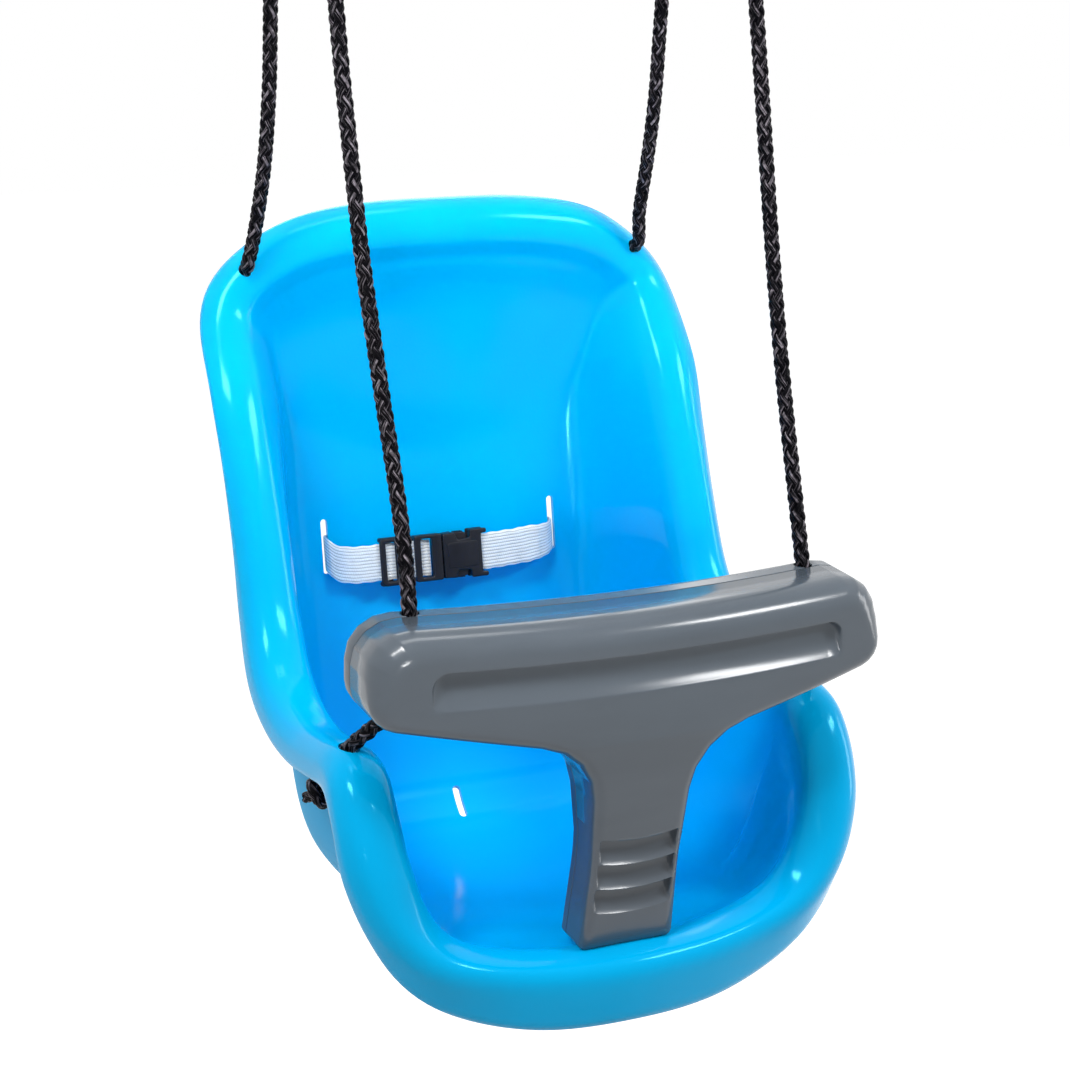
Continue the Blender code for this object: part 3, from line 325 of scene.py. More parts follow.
def glossy_blue():
    # Glossy moulded polyethylene with a faint ripple and hairline scuffs, satin underneath
    colour = (0.0, 0.50, 0.97)
    cast = (0.16, 0.80, 0.95, 1.0)
    finish = Finish("shell_blue", colour, 0.16, Specular_IOR_Level=0.30, Specular_Tint=cast)
    place = finish.place()
    cloud = finish.noise(place, 9.0, 3.0)
    finish.colour(finish.mixed(cloud.between(0.3, 0.7), tint(colour, 0.97), tint(colour, 1.03)))
    speck = finish.noise(place, 900.0, 1.0)
    scuff = finish.noise(finish.place((60.0, 60.0, 900.0)), 1.0, 3.0)
    worn = scuff.between(0.62, 0.74) * cloud.between(0.45, 0.6)
    outside = finish.node("ShaderNodeAttribute", {"attribute_name": "outside"}, output=2)
    finish.roughness(0.10 + cloud * 0.04 + speck * 0.02 + worn * 0.10 + outside * 0.42)
    ripple = finish.noise(place, 55.0, 2.0)
    finish.relief(ripple * 0.6 + speck * 0.05 - worn * 0.04, 0.00006)
    return finish.material


def satin_grey():
    # Moulded grey polypropylene with fine spark-erosion grain and soft flow marks
    colour = (0.092, 0.114, 0.140)
    finish = Finish("bar_grey", colour, 0.24)
    place = finish.place()
    flow = finish.noise(finish.place((9.0, 20.0, 30.0)), 1.0, 3.0)
    finish.colour(finish.mixed(flow.between(0.3, 0.7), tint(colour, 0.94), tint(colour, 1.06)))
    grain = finish.noise(place, 1500.0, 2.0)
    ripple = finish.noise(place, 45.0, 2.0)
    finish.roughness(0.13 + grain * 0.07 + flow * 0.04)
    finish.relief(grain * 0.12 + ripple * 0.7, 0.00005)
    return finish.material


def black_moulding():
    # Satin acetal of the buckle and slider
    colour = (0.010, 0.011, 0.016)
    finish = Finish("buckle_black", colour, 0.32, Specular_IOR_Level=0.25)
    place = finish.place()
    grain = finish.noise(place, 1800.0, 2.0)
    cloud = finish.noise(place, 120.0, 2.0)
    finish.colour(finish.mixed(cloud, tint(colour, 0.8), tint(colour, 1.5)))
    finish.roughness(0.26 + grain * 0.12 + cloud * 0.05)
    finish.relief(grain, 0.00003)
    return finish.material


def plated_steel():
    # Bright zinc plate with drawn lines and small dull spots
    colour = (0.60, 0.61, 0.63)
    finish = Finish("steel", colour, 0.22, Metallic=1.0)
    place = finish.place()
    spots = finish.noise(place, 260.0, 3.0)
    lines = finish.noise(finish.place((900.0, 900.0, 90.0)), 1.0, 2.0)
    finish.colour(finish.mixed(spots.between(0.4, 0.75), tint(colour, 1.04), tint(colour, 0.82)))
    finish.roughness(0.15 + spots * 0.14 + lines * 0.05)
    finish.relief(lines * 0.3 + spots * 0.4, 0.00003)
    return finish.material


def rope_fibre():
    # Black polypropylene yarn; fine fibres run along each strand, and lighter grey streaks on each strand's
    # crown are a painted sheen
    colour = (0.0016, 0.0016, 0.0028)
    finish = Finish("rope_black", colour, 0.34, Specular_IOR_Level=0.03)
    lay = finish.node("ShaderNodeAttribute", {"attribute_name": "lay"}, output=1)
    stretched = finish.node("ShaderNodeMapping", {}, {"Vector": lay, "Scale": (80.0, 1500.0, 1.0)})
    fibre = finish.noise(stretched, 1.0, 2.0)
    around = finish.node("ShaderNodeSeparateXYZ", {}, {"Vector": lay}, output=1)
    crown = (around * (math.tau / LAY_WIDTH) + math.pi / 2).sine().between(0.35, 1.0)
    patch = finish.noise(finish.place(), 260.0, 2.0).between(0.35, 0.65)
    # Painted sheen: the colour is mixed towards light grey along fibre streaks on the strands' crowns,
    # standing in for highlights
    painted_sheen = fibre.between(0.44, 0.62) * crown * (0.30 + patch * 0.70)
    finish.colour(finish.mixed(painted_sheen, (*colour, 1.0), (0.30, 0.27, 0.31, 1.0)))
    finish.roughness(0.24 + fibre * 0.16)
    finish.relief(fibre, 0.0003)
    return finish.material


def woven_white():
    # White webbing: rows of flat warp yarn crossed by a fine weft, with painted shade darkening the low gaps
    # between the yarns
    colour = (0.92, 0.95, 0.95)
    finish = Finish("webbing_white", colour, 0.75, Sheen_Weight=0.25, Sheen_Roughness=0.5)
    uv = finish.node("ShaderNodeUVMap", {"uv_map": "weave"})
    along = finish.node("ShaderNodeSeparateXYZ", {}, {"Vector": uv})
    across = along.also(1)
    wander = finish.noise(uv, 300.0, 2.0) - 0.5
    row = (across * (math.pi / WARP_PITCH) + wander * 0.5).sine()
    pick = (along * (math.tau / WEFT_PITCH) + wander * 1.4).sine()
    over = row * pick
    height = row.size() * 0.70 + over.between(-1.0, 1.0) * 0.30
    dirt = finish.noise(uv, 90.0, 3.0)
    # Painted shade: the low gaps between yarns and under the crossings are darkened in the colour, in both
    # the clean and the dirty mix
    shade = height.between(0.15, 0.62)
    threads_with_painted_shade = finish.mixed(shade, tint(colour, 0.50), tint(colour, 1.05))
    grey = finish.mixed(shade, tint(colour, 0.44), tint(colour, 0.95))
    finish.colour(finish.mixed(dirt.between(0.5, 0.75), threads_with_painted_shade, grey))
    finish.roughness(0.68 + dirt * 0.15)
    finish.relief(height, 0.00035)
    return finish.material


# Each finish by its name, made before the pieces
FINISHES = {}


def dress(piece, name):
    piece.data.materials.clear()
    piece.data.materials.append(FINISHES[name])


# Making and placing
def mesh_of(work, name):
    # Plain mesh of the worked faces, which are let go
    mesh = bpy.data.meshes.new(name)
    work.to_mesh(mesh)
    work.free()
    return mesh


def link(name, data):
    thing = bpy.data.objects.new(name, data)
    bpy.context.scene.collection.objects.link(thing)
    return thing


def evaluated(thing):
    # Plain mesh of an object with its modifiers worked in; the object goes
    bpy.context.view_layer.update()
    graph = bpy.context.evaluated_depsgraph_get()
    mesh = bpy.data.meshes.new_from_object(thing.evaluated_get(graph))
    bpy.data.objects.remove(thing, do_unlink=True)
    return mesh


def cut(mesh, cutters):
    # The mesh without what the cutters cover
    holder = link("working", mesh)
    tools = []
    for cutter in cutters:
        tool = link("cutter", cutter)
        tools.append(tool)
        step = holder.modifiers.new("cut", "BOOLEAN")
        step.operation = "DIFFERENCE"
        step.solver = "EXACT"
        step.object = tool
    result = evaluated(holder)
    for tool in tools:
        bpy.data.objects.remove(tool, do_unlink=True)
    return result


def place_piece(name, mesh, finish, body, stands_for=(), where=SEAT, crease=40.0):
    # The finished mesh as a piece of a body, in the place of the solids that it stands for
    mesh.transform(where)
    mesh.name = name
    thing = link(name, mesh)
    dress(thing, finish)
    if crease:
        mesh.shade_smooth()
        mesh.set_sharp_from_angle(angle=math.radians(crease))
    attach(thing, body)
    if stands_for:
        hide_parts(*stands_for)
    return thing


def rod_mesh(start, end, radius, sides=40):
    # Round rod between two points
    start, end = Vector(start), Vector(end)
    along = end - start
    turn = along.to_track_quat("Z", "Y").to_matrix().to_4x4()
    work = bmesh.new()
    bmesh.ops.create_cone(
        work, cap_ends=True, segments=sides, radius1=radius, radius2=radius, depth=along.length,
        matrix=Matrix.Translation((start + end) / 2) @ turn,
    )
    return mesh_of(work, "rod")


def box_mesh(low, high):
    # Box between two corners
    work = bmesh.new()
    bmesh.ops.create_cube(work, size=1.0)
    for vertex in work.verts:
        for axis in range(3):
            middle = (low[axis] + high[axis]) / 2
            vertex.co[axis] = middle + vertex.co[axis] * (high[axis] - low[axis])
    return mesh_of(work, "box")


def bridge(work, rows, around=False):
    # Faces between closed rows of vertices, and with around from the last row to the first
    pairs = list(zip(rows, rows[1:]))
    if around:
        pairs.append((rows[-1], rows[0]))
    for row, other in pairs:
        for step in range(len(row)):
            after = (step + 1) % len(row)
            work.faces.new((row[step], row[after], other[after], other[step]))


# Curves and shapes
def smooth_points(controls, values, closed=False):
    # Catmull-Rom curve through the control rows, read at the given places
    controls = np.array(controls, float)
    count = len(controls)
    rows = []
    for value in values:
        index = int(math.floor(value))
        if not closed:
            index = held(index, 0, count - 2)
        share = value - index
        picks = []
        for step in (-1, 0, 1, 2):
            if closed:
                picks.append(controls[(index + step) % count])
            else:
                place = index + step
                if place < 0:
                    picks.append(2 * controls[0] - controls[1])
                elif place >= count:
                    picks.append(2 * controls[-1] - controls[-2])
                else:
                    picks.append(controls[place])
        a, b, c, d = picks
        rows.append(
            0.5 * (2 * b + (c - a) * share + (2 * a - 5 * b + 4 * c - d) * share ** 2
                   + (3 * b - a - 3 * c + d) * share ** 3)
        )
    return np.array(rows)


def unit(vector):
    return vector / np.linalg.norm(vector)


def held(value, low=0.0, high=1.0):
    return min(max(value, low), high)


def way_along(line):
    # Distance along the line at each of its points
    return np.concatenate([[0.0], np.cumsum(np.linalg.norm(np.diff(line, axis=0), axis=1))])


def read_along(line, places):
    # Points of the line at distances along it
    way = way_along(line)
    return np.stack([np.interp(places, way, column) for column in line.T], axis=1)


def mirrored(point, side):
    return point * np.array([side, 1, 1])


def midline():
    # Back panel and pan along the middle plane, top to front, as (y, z)
    depth = BACK_PANEL_DEPTH
    sink = PAN_SINK
    return [
        (depth + 0.039, BACK_TOP - 0.030),
        (depth + 0.019, BACK_TOP - 0.121),
        (depth, BACK_TOP - 0.216),
        (depth - 0.011, 0.095),
        (depth - 0.020, 0.030),
        (depth - 0.032, 0.023 - sink),
        (depth - 0.063, 0.001 - sink),
        (depth - 0.120, -sink),
        (0.140, 0.011 - sink),
        (0.080, 0.023 - sink),
        (0.040, -0.0095),
    ]


def rim_stations():
    # Half of the rim's crest, back top to front middle: x, y, z, face tilt, flat half width,
    # place on the midline, drop and reach of the outer edge, sink of the inner edge
    wide, top, back, arm = RIM_HALF_WIDTH, BACK_TOP, BACK_RIM_DEPTH, ARM_HEIGHT
    flat, lip = FLAT_HALF_WIDTH, RIM_OUTSIDE
    nose = arm + ARM_NOSE_RISE
    drop, apron, sink = SKIRT_DROP, APRON_DROP, RIM_SINK
    return [
        (0.0000, back + 0.0015, top, 72, 0.000, 0.80, drop - 0.003, lip + 0.002, sink),
        (wide - 0.0945, back + 0.0020, top - 0.0019, 72, flat - 0.033, 0.81, drop - 0.005, lip + 0.002, sink),
        (wide - 0.0506, back + 0.0027, top - 0.0095, 70, flat - 0.010, 0.86, drop - 0.008, lip + 0.001, sink),
        (wide - 0.0194, back + 0.0052, top - 0.0277, 68, flat, 0.97, drop - 0.006, lip, sink),
        (wide - 0.0035, back + 0.0002, top - 0.0508, 67, flat + 0.003, 1.15, drop - 0.009, lip, sink),
        (wide - 0.0001, back - 0.0302, top - 0.0930, 66, flat + 0.002, 1.50, drop - 0.0125, lip, sink),
        (wide - 0.0002, back - 0.0516, top - 0.1346, 66, flat + 0.001, 1.90, drop - 0.010, lip - 0.001, sink),
        (wide - 0.0003, back - 0.0724, top - 0.1806, 62, flat, 2.40, drop - 0.007, lip - 0.001, sink),
        (wide, back - 0.0913, top - 0.2220, 52, flat, 3.20, drop - 0.002, lip, sink),
        (wide + 0.0010, back - 0.1133, arm + 0.0175, 34, flat, 4.60, drop, lip + 0.0015, sink),
        (wide + 0.0010, back - 0.1396, arm + 0.0044, 14, flat, 6.30, drop, lip + 0.001, sink),
        (wide, 0.1305, arm, 2, flat, 7.40, drop, lip, sink),
        (wide - 0.0010, 0.1005, arm + 0.0030, 0, flat, 8.10, drop, lip - 0.001, sink),
        (wide - 0.0024, 0.0736, nose - 0.0008, 8, flat, 8.60, drop, lip - 0.001, sink),
        (wide - 0.0029, 0.0507, nose - 0.0076, 28, flat - 0.001, 9.00, drop - 0.001, lip, sink),
        (wide - 0.0035, 0.0325, nose - 0.0292, 45, flat - 0.002, 9.30, drop - 0.004, lip + 0.001, sink),
        (wide - 0.0063, 0.0210, 0.0653, 50, flat - 0.004, 9.50, drop - 0.003, lip + 0.0015, sink - 0.003),
        (wide - 0.0157, 0.0136, 0.0381, 45, flat - 0.009, 9.70, drop - 0.001, lip - 0.001, sink - 0.007),
        (wide - 0.0357, 0.0093, 0.0148, 30, flat - 0.020, 9.90, apron - 0.011, lip - 0.005, sink - 0.010),
        (wide - 0.0639, 0.0063, 0.0025, 18, flat - 0.040, 10.0, apron - 0.004, lip - 0.008, sink - 0.0115),
        (wide - 0.1043, 0.0024, -0.0031, 12, flat - 0.063, 10.0, apron, lip - 0.007, sink - 0.012),
        (0.0000, -0.0003, -0.0029, 10, 0.000, 10.0, apron, lip - 0.0055, sink - 0.012),
    ]


def flange_profile(drop, reach, sink, ease):
    # Section of the rolled rim outward and up from its crest, inner wall first; it eases
    # from a steep inner wall (0) to the gentle slope at the head of the back (1)
    inside = RIM_INSIDE
    fold = min(0.009, drop * 0.6)
    inner = sink * (1.0 - 0.20 * ease)
    return [
        (-inside, -inner),
        (0.0025 + 0.0030 * ease - inside, -inner * (0.56 - 0.03 * ease)),
        (0.0090 + 0.0020 * ease - inside, -inner * (0.19 - 0.02 * ease)),
        (0.0, 0.0),
        (reach * 0.52, -0.0025),
        (reach * 0.85, -fold),
        (reach * 0.95, -fold - (drop - fold) * 0.4),
        (reach, -drop),
    ]


def base_point(x, place):
    # Point of the dished panel and pan
    y, z = smooth_points(midline(), [place])[0]
    ahead = smooth_points(midline(), [place + 0.05])[0] - smooth_points(midline(), [place - 0.05])[0]
    ahead = unit(ahead)
    lift = PAN_DISH * (x / FLAT_HALF_WIDTH) ** 2
    return np.array([x, y + lift * ahead[1], z - lift * ahead[0]])


def rim_frame(place):
    # Crest point, outward and face directions of the rim at a place along the stations
    half = rim_stations()
    whole = half + [(-row[0], *row[1:4], -row[4], *row[5:]) for row in half[-2:0:-1]]
    row = smooth_points(whole, [place], closed=True)[0]
    step = 0.02
    before, after = smooth_points(whole, [place - step, place + step], closed=True)
    tangent = unit(after[:3] - before[:3])
    tilt = math.radians(row[3])
    face = np.array([0.0, -math.sin(tilt), math.cos(tilt)])
    face = unit(face - tangent * face.dot(tangent))
    outward = np.cross(face, tangent)
    return row, outward, face


def eased_head(point):
    # The upper back turns gently forward to the rim instead of bulging behind it
    heights = (0.180, 0.205, 0.230, 0.260, 0.290, 0.320, 0.340, 0.356, 0.375)
    depths = (0.3400, 0.3372, 0.3362, 0.3345, 0.3303, 0.3235, 0.3165, 0.3088, 0.3000)
    place = float(np.interp(point[2], heights, np.arange(len(heights))))
    limit = smooth_points([(depth,) for depth in depths], [place])[0][0]
    share = held((point[2] - HEAD_EASE_START) / HEAD_EASE_BLEND)
    gap, soft = point[1] - limit, 0.004
    eased = limit + 0.5 * (gap - math.sqrt(gap ** 2 + soft ** 2))
    return np.array([point[0], point[1] + share * (min(eased, point[1]) - point[1]), point[2]])


def shell_column(place):
    # One line of points from the spine over the rim to the outer edge
    row, outward, face = rim_frame(place)
    flat, seat_place, drop, reach, sink = row[4:9]
    spine_place = held(seat_place, SPINE_TOP, SPINE_FRONT)
    points = []
    for share in np.linspace(0.0, 1.0, FLAT_ROWS):
        points.append(base_point(flat * share, spine_place + (seat_place - spine_place) * share))
    edge = points[-1]
    near = base_point(flat * EDGE_SHARE, spine_place + (seat_place - spine_place) * EDGE_SHARE)
    sideways = unit(edge - near)
    ease = 1.0 - held((seat_place - EASE_START) / EASE_LENGTH)
    corners = [row[:3] + outward * o + face * d for o, d in flange_profile(drop, reach, sink, ease)]
    rim = list(smooth_points(corners, np.linspace(0, 7, RIM_ROWS)))
    span = rim[0] - edge
    down = unit(-face * (1.0 - ease) + unit(corners[0] - corners[1]) * ease)
    below = held((seat_place - HEAD_LENGTH) / HEAD_LENGTH)
    fullness = TOP_FULLNESS + (WALL_FULLNESS - TOP_FULLNESS) * below
    lean = edge + sideways * fullness * max(span.dot(sideways), 0.004)
    fullness = CREST_FULLNESS + (WALL_FULLNESS - CREST_FULLNESS) * below
    rise = rim[0] + down * fullness * max(-span.dot(down), 0.002)
    for share in np.linspace(0.0, 1.0, WALL_ROWS + 2)[1:-1]:
        rest = 1.0 - share
        near_edge = rest ** 3 * edge + 3 * rest ** 2 * share * lean
        points.append(near_edge + 3 * rest * share ** 2 * rise + share ** 3 * rim[0])
    return [eased_head(point) for point in points] + rim


def station_places(count):
    # Places along half of the rim, spaced by the way along the crest and along the base
    fine = np.linspace(0.0, len(rim_stations()) - 1, 400)
    rows = [rim_frame(place)[0] for place in fine]
    crest = np.array([row[:3] for row in rows])
    base = np.array([base_point(row[4], row[5]) for row in rows])
    steps = [np.linalg.norm(np.diff(line, axis=0), axis=1) for line in (crest, base)]
    way = np.concatenate([[0.0], np.cumsum(steps[0] + 0.45 * steps[1])])
    return np.interp(np.linspace(0.0, way[-1], count), way, fine)


def shell_skin():
    # Seating side of the shell as one sheet
    half = [shell_column(place) for place in station_places(SHELL_COLUMNS)]
    lines = half + [[mirrored(point, -1) for point in line] for line in half[-2:0:-1]]
    for line in (lines[0], lines[SHELL_COLUMNS - 1]):
        for point in line:
            point[0] = 0.0
    work = bmesh.new()
    grid = [[work.verts.new(point) for point in line] for line in lines]
    for index, line in enumerate(grid):
        other = grid[(index + 1) % len(grid)]
        for a, b, c, d in zip(line, line[1:], other[1:], other):
            work.faces.new((a, d, c, b))
    bmesh.ops.remove_doubles(work, verts=work.verts, dist=1e-5)
    bmesh.ops.dissolve_degenerate(work, edges=work.edges, dist=1e-6)
    return work


def slot_cutter(centre, along, through, length, width):
    # Punch with round ends
    along, through = Vector(along).normalized(), Vector(through).normalized()
    side = along.cross(through)
    radius = width / 2
    straight = length / 2 - radius
    work = bmesh.new()
    ring = []
    for index in range(16):
        angle = math.tau * (index + 0.5) / 16
        shift = straight if math.cos(angle) > 0 else -straight
        spot = along * (shift + radius * math.cos(angle)) + side * radius * math.sin(angle)
        ring.append(work.verts.new(Vector(centre) + spot - through * PUNCH_REACH))
    base = work.faces.new(ring)
    moved = bmesh.ops.extrude_face_region(work, geom=[base])["geom"]
    for item in moved:
        if isinstance(item, bmesh.types.BMVert):
            item.co += through * 2 * PUNCH_REACH
    bmesh.ops.recalc_face_normals(work, faces=work.faces)
    return mesh_of(work, "slot")


def belt_slot_points():
    # Centre and directions of the right belt slot, in the seat's frame
    line = midline()
    places = np.linspace(1.0, 4.0, 301)
    spots = smooth_points(line, places)
    nearest = int(np.argmin(abs(spots[:, 1] - BELT_SLOT_CENTRE)))
    centre = base_point(BELT_SLOT_SPACING / 2, places[nearest])
    tangent = unit(spots[nearest - 5] - spots[nearest + 5])
    return centre, np.array([0.0, *tangent]), np.array([0.0, tangent[1], -tangent[0]])


def drain_points():
    # Centre and directions of the drain slot at the foot of the back
    places = [DRAIN_PLACE - 0.1, DRAIN_PLACE, DRAIN_PLACE + 0.1]
    before, (y, z), after = smooth_points(midline(), places)
    tangent = unit(before - after)
    return np.array([0.0, y, z]), np.array([0.0, *tangent]), np.array([0.0, tangent[1], -tangent[0]])


def rope_hole(place, shift):
    # Middle and axis of a rope hole on the right side of the rim
    row, outward, face = rim_frame(place)
    return row[:3] + outward * shift, face


def front_rope_line():
    # Front leg from the T-bar up to the thimble, right side
    bar = BAR_TOP
    return np.array([
        (0.1245, 0.0270, bar - 0.039), (0.1237, 0.0355, bar - 0.009), (0.1229, 0.0432, bar + 0.021),
        (0.1230, 0.0529, bar + 0.051), (0.1237, 0.0636, bar + 0.081), (0.1248, 0.0745, bar + 0.111),
        (0.1259, 0.0848, bar + 0.141), (0.1270, 0.0944, bar + 0.171), (0.1279, 0.1030, bar + 0.201),
        (0.1285, 0.1107, bar + 0.231), (0.1290, 0.1182, bar + 0.261), (0.1294, 0.1257, bar + 0.291),
    ])


def rope_lower_route():
    # Front leg from the stopper knot through the arm and up to the T-bar, right side
    hole = rope_hole(ARM_HOLE_PLACE, ARM_HOLE_SHIFT)[0]
    tip = front_rope_line()[0]
    return [
        hole + np.array([0.0068, 0.0265, -0.0310]),
        hole + np.array([0.0055, 0.0200, -0.0230]),
        hole + np.array([0.0030, 0.0110, -0.0120]),
        hole,
        hole * 0.62 + tip * 0.38 + np.array([-0.0010, -0.0010, 0.0000]),
        hole * 0.28 + tip * 0.72 + np.array([-0.0010, -0.0010, -0.0010]),
        tip,
    ]


def rope_route():
    # Whole right rope in the seat's frame: front knot, T-bar, over the thimble, rear knot
    across = RING_SPACING / 2
    low = front_rope_line()
    centre = np.array([across, HANG_REACH, HANG_HEIGHT])
    touch = centre + np.array([0.0, -THIMBLE_ROPE_RADIUS, -0.004])
    rise = [low[-1] + (touch - low[-1]) * share for share in (0.25, 0.5, 0.75, 0.92)]
    turn = []
    for share in np.linspace(0.0, 1.0, 8):
        angle = math.radians(168.0 - 171.0 * share)
        turn.append(centre + THIMBLE_ROPE_RADIUS * np.array([0.0, math.cos(angle), math.sin(angle)]))
    hole, face = rope_hole(REAR_HOLE_PLACE, REAR_HOLE_SHIFT)
    top, rear = hole[2], BACK_RIM_DEPTH
    far = np.array([0.1299, rear - 0.0387, top + 0.147])
    start = centre + np.array([0.0, THIMBLE_ROPE_RADIUS, 0.0])
    fall = [start + (far - start) * share for share in (0.12, 0.37, 0.64)]
    back = [
        far, np.array([0.1305, rear - 0.0331, top + 0.107]), np.array([0.1315, rear - 0.0225, top + 0.067]),
        np.array([0.1337, rear - 0.0065, top + 0.027]),
        hole + face * 0.0060 + np.array([-0.001, 0.0, 0.0045]),
        hole - face * 0.0070, hole - face * 0.0140,
    ]
    return rope_lower_route() + list(low[1:]) + rise + turn + fall + back


def rounded_outline(corners, steps):
    # Closed outline with each corner turned by its own radius
    points = []
    count = len(corners)
    for index, (x, z, radius) in enumerate(corners):
        here = Vector((x, z))
        before = (Vector(corners[index - 1][:2]) - here).normalized()
        after = (Vector(corners[(index + 1) % count][:2]) - here).normalized()
        half = before.angle(after) / 2
        reach = radius / math.tan(half)
        middle = here + (before + after).normalized() * (radius / math.sin(half))
        first = here + before * reach - middle
        last = here + after * reach - middle
        sweep = first.angle_signed(last)
        for step in range(steps + 1):
            points.append(middle + Matrix.Rotation(-sweep * step / steps, 2) @ first)
    return points


def bar_corners():
    # Corners of the T, from the top middle round to the foot, both sides
    right = [
        (BAR_HALF_LENGTH - 0.001, BAR_TOP, BAR_TOP_TURN),
        (BAR_HALF_LENGTH, BAR_END_BOTTOM, BAR_END_TURN),
        (POST_HALF_WIDTH + 0.004, BAR_END_BOTTOM - 0.026, 0.042),
        (POST_HALF_WIDTH, GRIP_TOP - 0.020, 0.200),
        (FOOT_HALF_WIDTH, FOOT_BOTTOM, 0.004),
    ]
    return right + [(-x, z, radius) for x, z, radius in reversed(right)]


def bend_point(x, y, z):
    # Bows the bar forward, leans the post back and thins it towards the foot
    bow = BAR_BOW * (1 - (x / BAR_HALF_LENGTH) ** 2)
    fade = held(z / (BAR_END_BOTTOM - 0.020))
    thin = POST_THICKNESS / BAR_THICKNESS
    thickness_share = thin + (1 - thin) * held((z - THIN_UP_TO) / THICKEN_OVER)
    setback = FOOT_SETBACK * (1 - fade)
    return x, y * thickness_share - bow * fade + setback, z


def rope_channel(side):
    # Ends of the rope's straight way through the bar
    line = mirrored(front_rope_line(), side)
    rise = unit(line[2] - line[0])
    return Vector(line[0] - rise * 0.05), Vector(line[0] + rise * 0.10)


# Braided rope
class Tree(Nodes):
    # A geometry tree with named inputs
    def __init__(self, name, inputs):
        super().__init__(bpy.data.node_groups.new(name, "GeometryNodeTree"))
        face = self.tree.interface
        face.new_socket("Geometry", in_out="INPUT", socket_type="NodeSocketGeometry")
        self.identifiers = {}
        for label, kind, value in inputs:
            socket = face.new_socket(label, in_out="INPUT", socket_type=kind)
            if value is not None:
                socket.default_value = value
            self.identifiers[label] = socket.identifier
        face.new_socket("Geometry", in_out="OUTPUT", socket_type="NodeSocketGeometry")
        first = self.node("NodeGroupInput")
        self.given = [first.also(label) for label in ("Geometry", *self.identifiers)]
        self.result = self.tree.nodes.new("NodeGroupOutput").inputs[0]

    def vector(self, operation, *values):
        return self.node("ShaderNodeVectorMath", {"operation": operation}, dict(enumerate(values)))

    def scaled(self, vector, factor):
        return self.node("ShaderNodeVectorMath", {"operation": "SCALE"}, {0: vector, "Scale": factor})

    def kept(self, geometry, **values):
        # The geometry with values held on its points, and the values held
        made = self.tree.nodes.new("GeometryNodeCaptureAttribute")
        made.domain = "POINT"
        for name, (kind, value) in values.items():
            made.capture_items.new(kind, name)
        self.feed(made.inputs["Geometry"], geometry)
        for name, (kind, value) in values.items():
            self.feed(made.inputs[name], value)
        return [Field(self, made.outputs[name]) for name in ("Geometry", *values)]

    def circle(self, radius):
        inputs = {"Resolution": 8, "Radius": radius}
        return self.node("GeometryNodeCurvePrimitiveCircle", {"mode": "RADIUS"}, inputs)

    def swept(self, line, section):
        inputs = {"Curve": line, "Profile Curve": section, "Fill Caps": True}
        return self.node("GeometryNodeCurveToMesh", {}, inputs)


def braid_tree():
    # Strands that wind both ways round a core and pass over and under each other
    real = "NodeSocketFloat"
    tree = Tree("braided_rope", [
        ("Half Strands", "NodeSocketInt", 4), ("Lay Length", real, 0.046), ("Strand Radius", real, 0.0028),
        ("Weave Depth", real, 0.0007), ("Strand Width", real, 0.0043), ("Strand Height", real, 0.0028),
        ("Core Radius", real, 0.0024), ("Step", real, 0.0016), ("Finish", "NodeSocketMaterial", None),
    ])
    curve, half, lay, radius, depth, width, height, core, step, finish = tree.given
    line = tree.node("GeometryNodeResampleCurve", {"mode": "LENGTH"}, {"Curve": curve, "Length": step})
    line = tree.node("GeometryNodeSetCurveNormal", {"mode": "MINIMUM_TWIST"}, {"Curve": line})
    inputs = {"Geometry": line, "Amount": half * 2.0}
    copies = tree.node("GeometryNodeDuplicateElements", {"domain": "SPLINE"}, inputs)
    index = copies.also("Duplicate Index")
    other_way = index.work("GREATER_THAN", index, half - 0.5)
    sign = 1.0 - other_way * 2.0
    along = tree.node("GeometryNodeSplineParameter", output=1)
    angle = sign * (along * math.tau / lay) + index * math.tau / half + other_way * math.pi / half
    lift = (angle * half).sine() * sign * depth
    normal = tree.node("GeometryNodeInputNormal")
    side = tree.vector("CROSS_PRODUCT", tree.node("GeometryNodeInputTangent"), normal)
    outward = tree.vector("ADD", tree.scaled(normal, angle.cosine()), tree.scaled(side, angle.sine()))
    kept, outward, along = tree.kept(copies, outward=("VECTOR", outward), along=("FLOAT", along))
    inputs = {"Geometry": kept, "Offset": tree.scaled(outward, radius + lift)}
    moved = tree.node("GeometryNodeSetPosition", {}, inputs)
    strands = tree.node("GeometryNodeSetCurveNormal", {"mode": "FREE"}, {"Curve": moved, "Normal": outward})
    around = tree.node("GeometryNodeSplineParameter")
    ring, around = tree.kept(tree.circle(0.5), around=("FLOAT", around))
    shape = tree.node("ShaderNodeCombineXYZ", {}, {0: height, 1: width, 2: 1.0})
    ring = tree.node("GeometryNodeTransform", {}, {"Geometry": ring, "Scale": shape})
    place = tree.node("ShaderNodeCombineXYZ", {}, {0: along, 1: around * LAY_WIDTH, 2: index})
    kind = {"data_type": "FLOAT_VECTOR", "domain": "POINT"}
    inputs = {"Geometry": tree.swept(strands, ring), "Name": "lay", "Value": place}
    tubes = tree.node("GeometryNodeStoreNamedAttribute", kind, inputs)
    both = tree.node("GeometryNodeJoinGeometry", {}, {0: tree.swept(line, tree.circle(core))})
    tree.feed(both.socket.node.inputs[0], tubes)
    whole = tree.node("GeometryNodeRealizeInstances", {}, {"Geometry": both})
    whole = tree.node("GeometryNodeSetShadeSmooth", {}, {"Geometry": whole})
    whole = tree.node("GeometryNodeSetMaterial", {}, {"Geometry": whole, "Material": finish})
    tree.feed(tree.result, whole)
    return tree


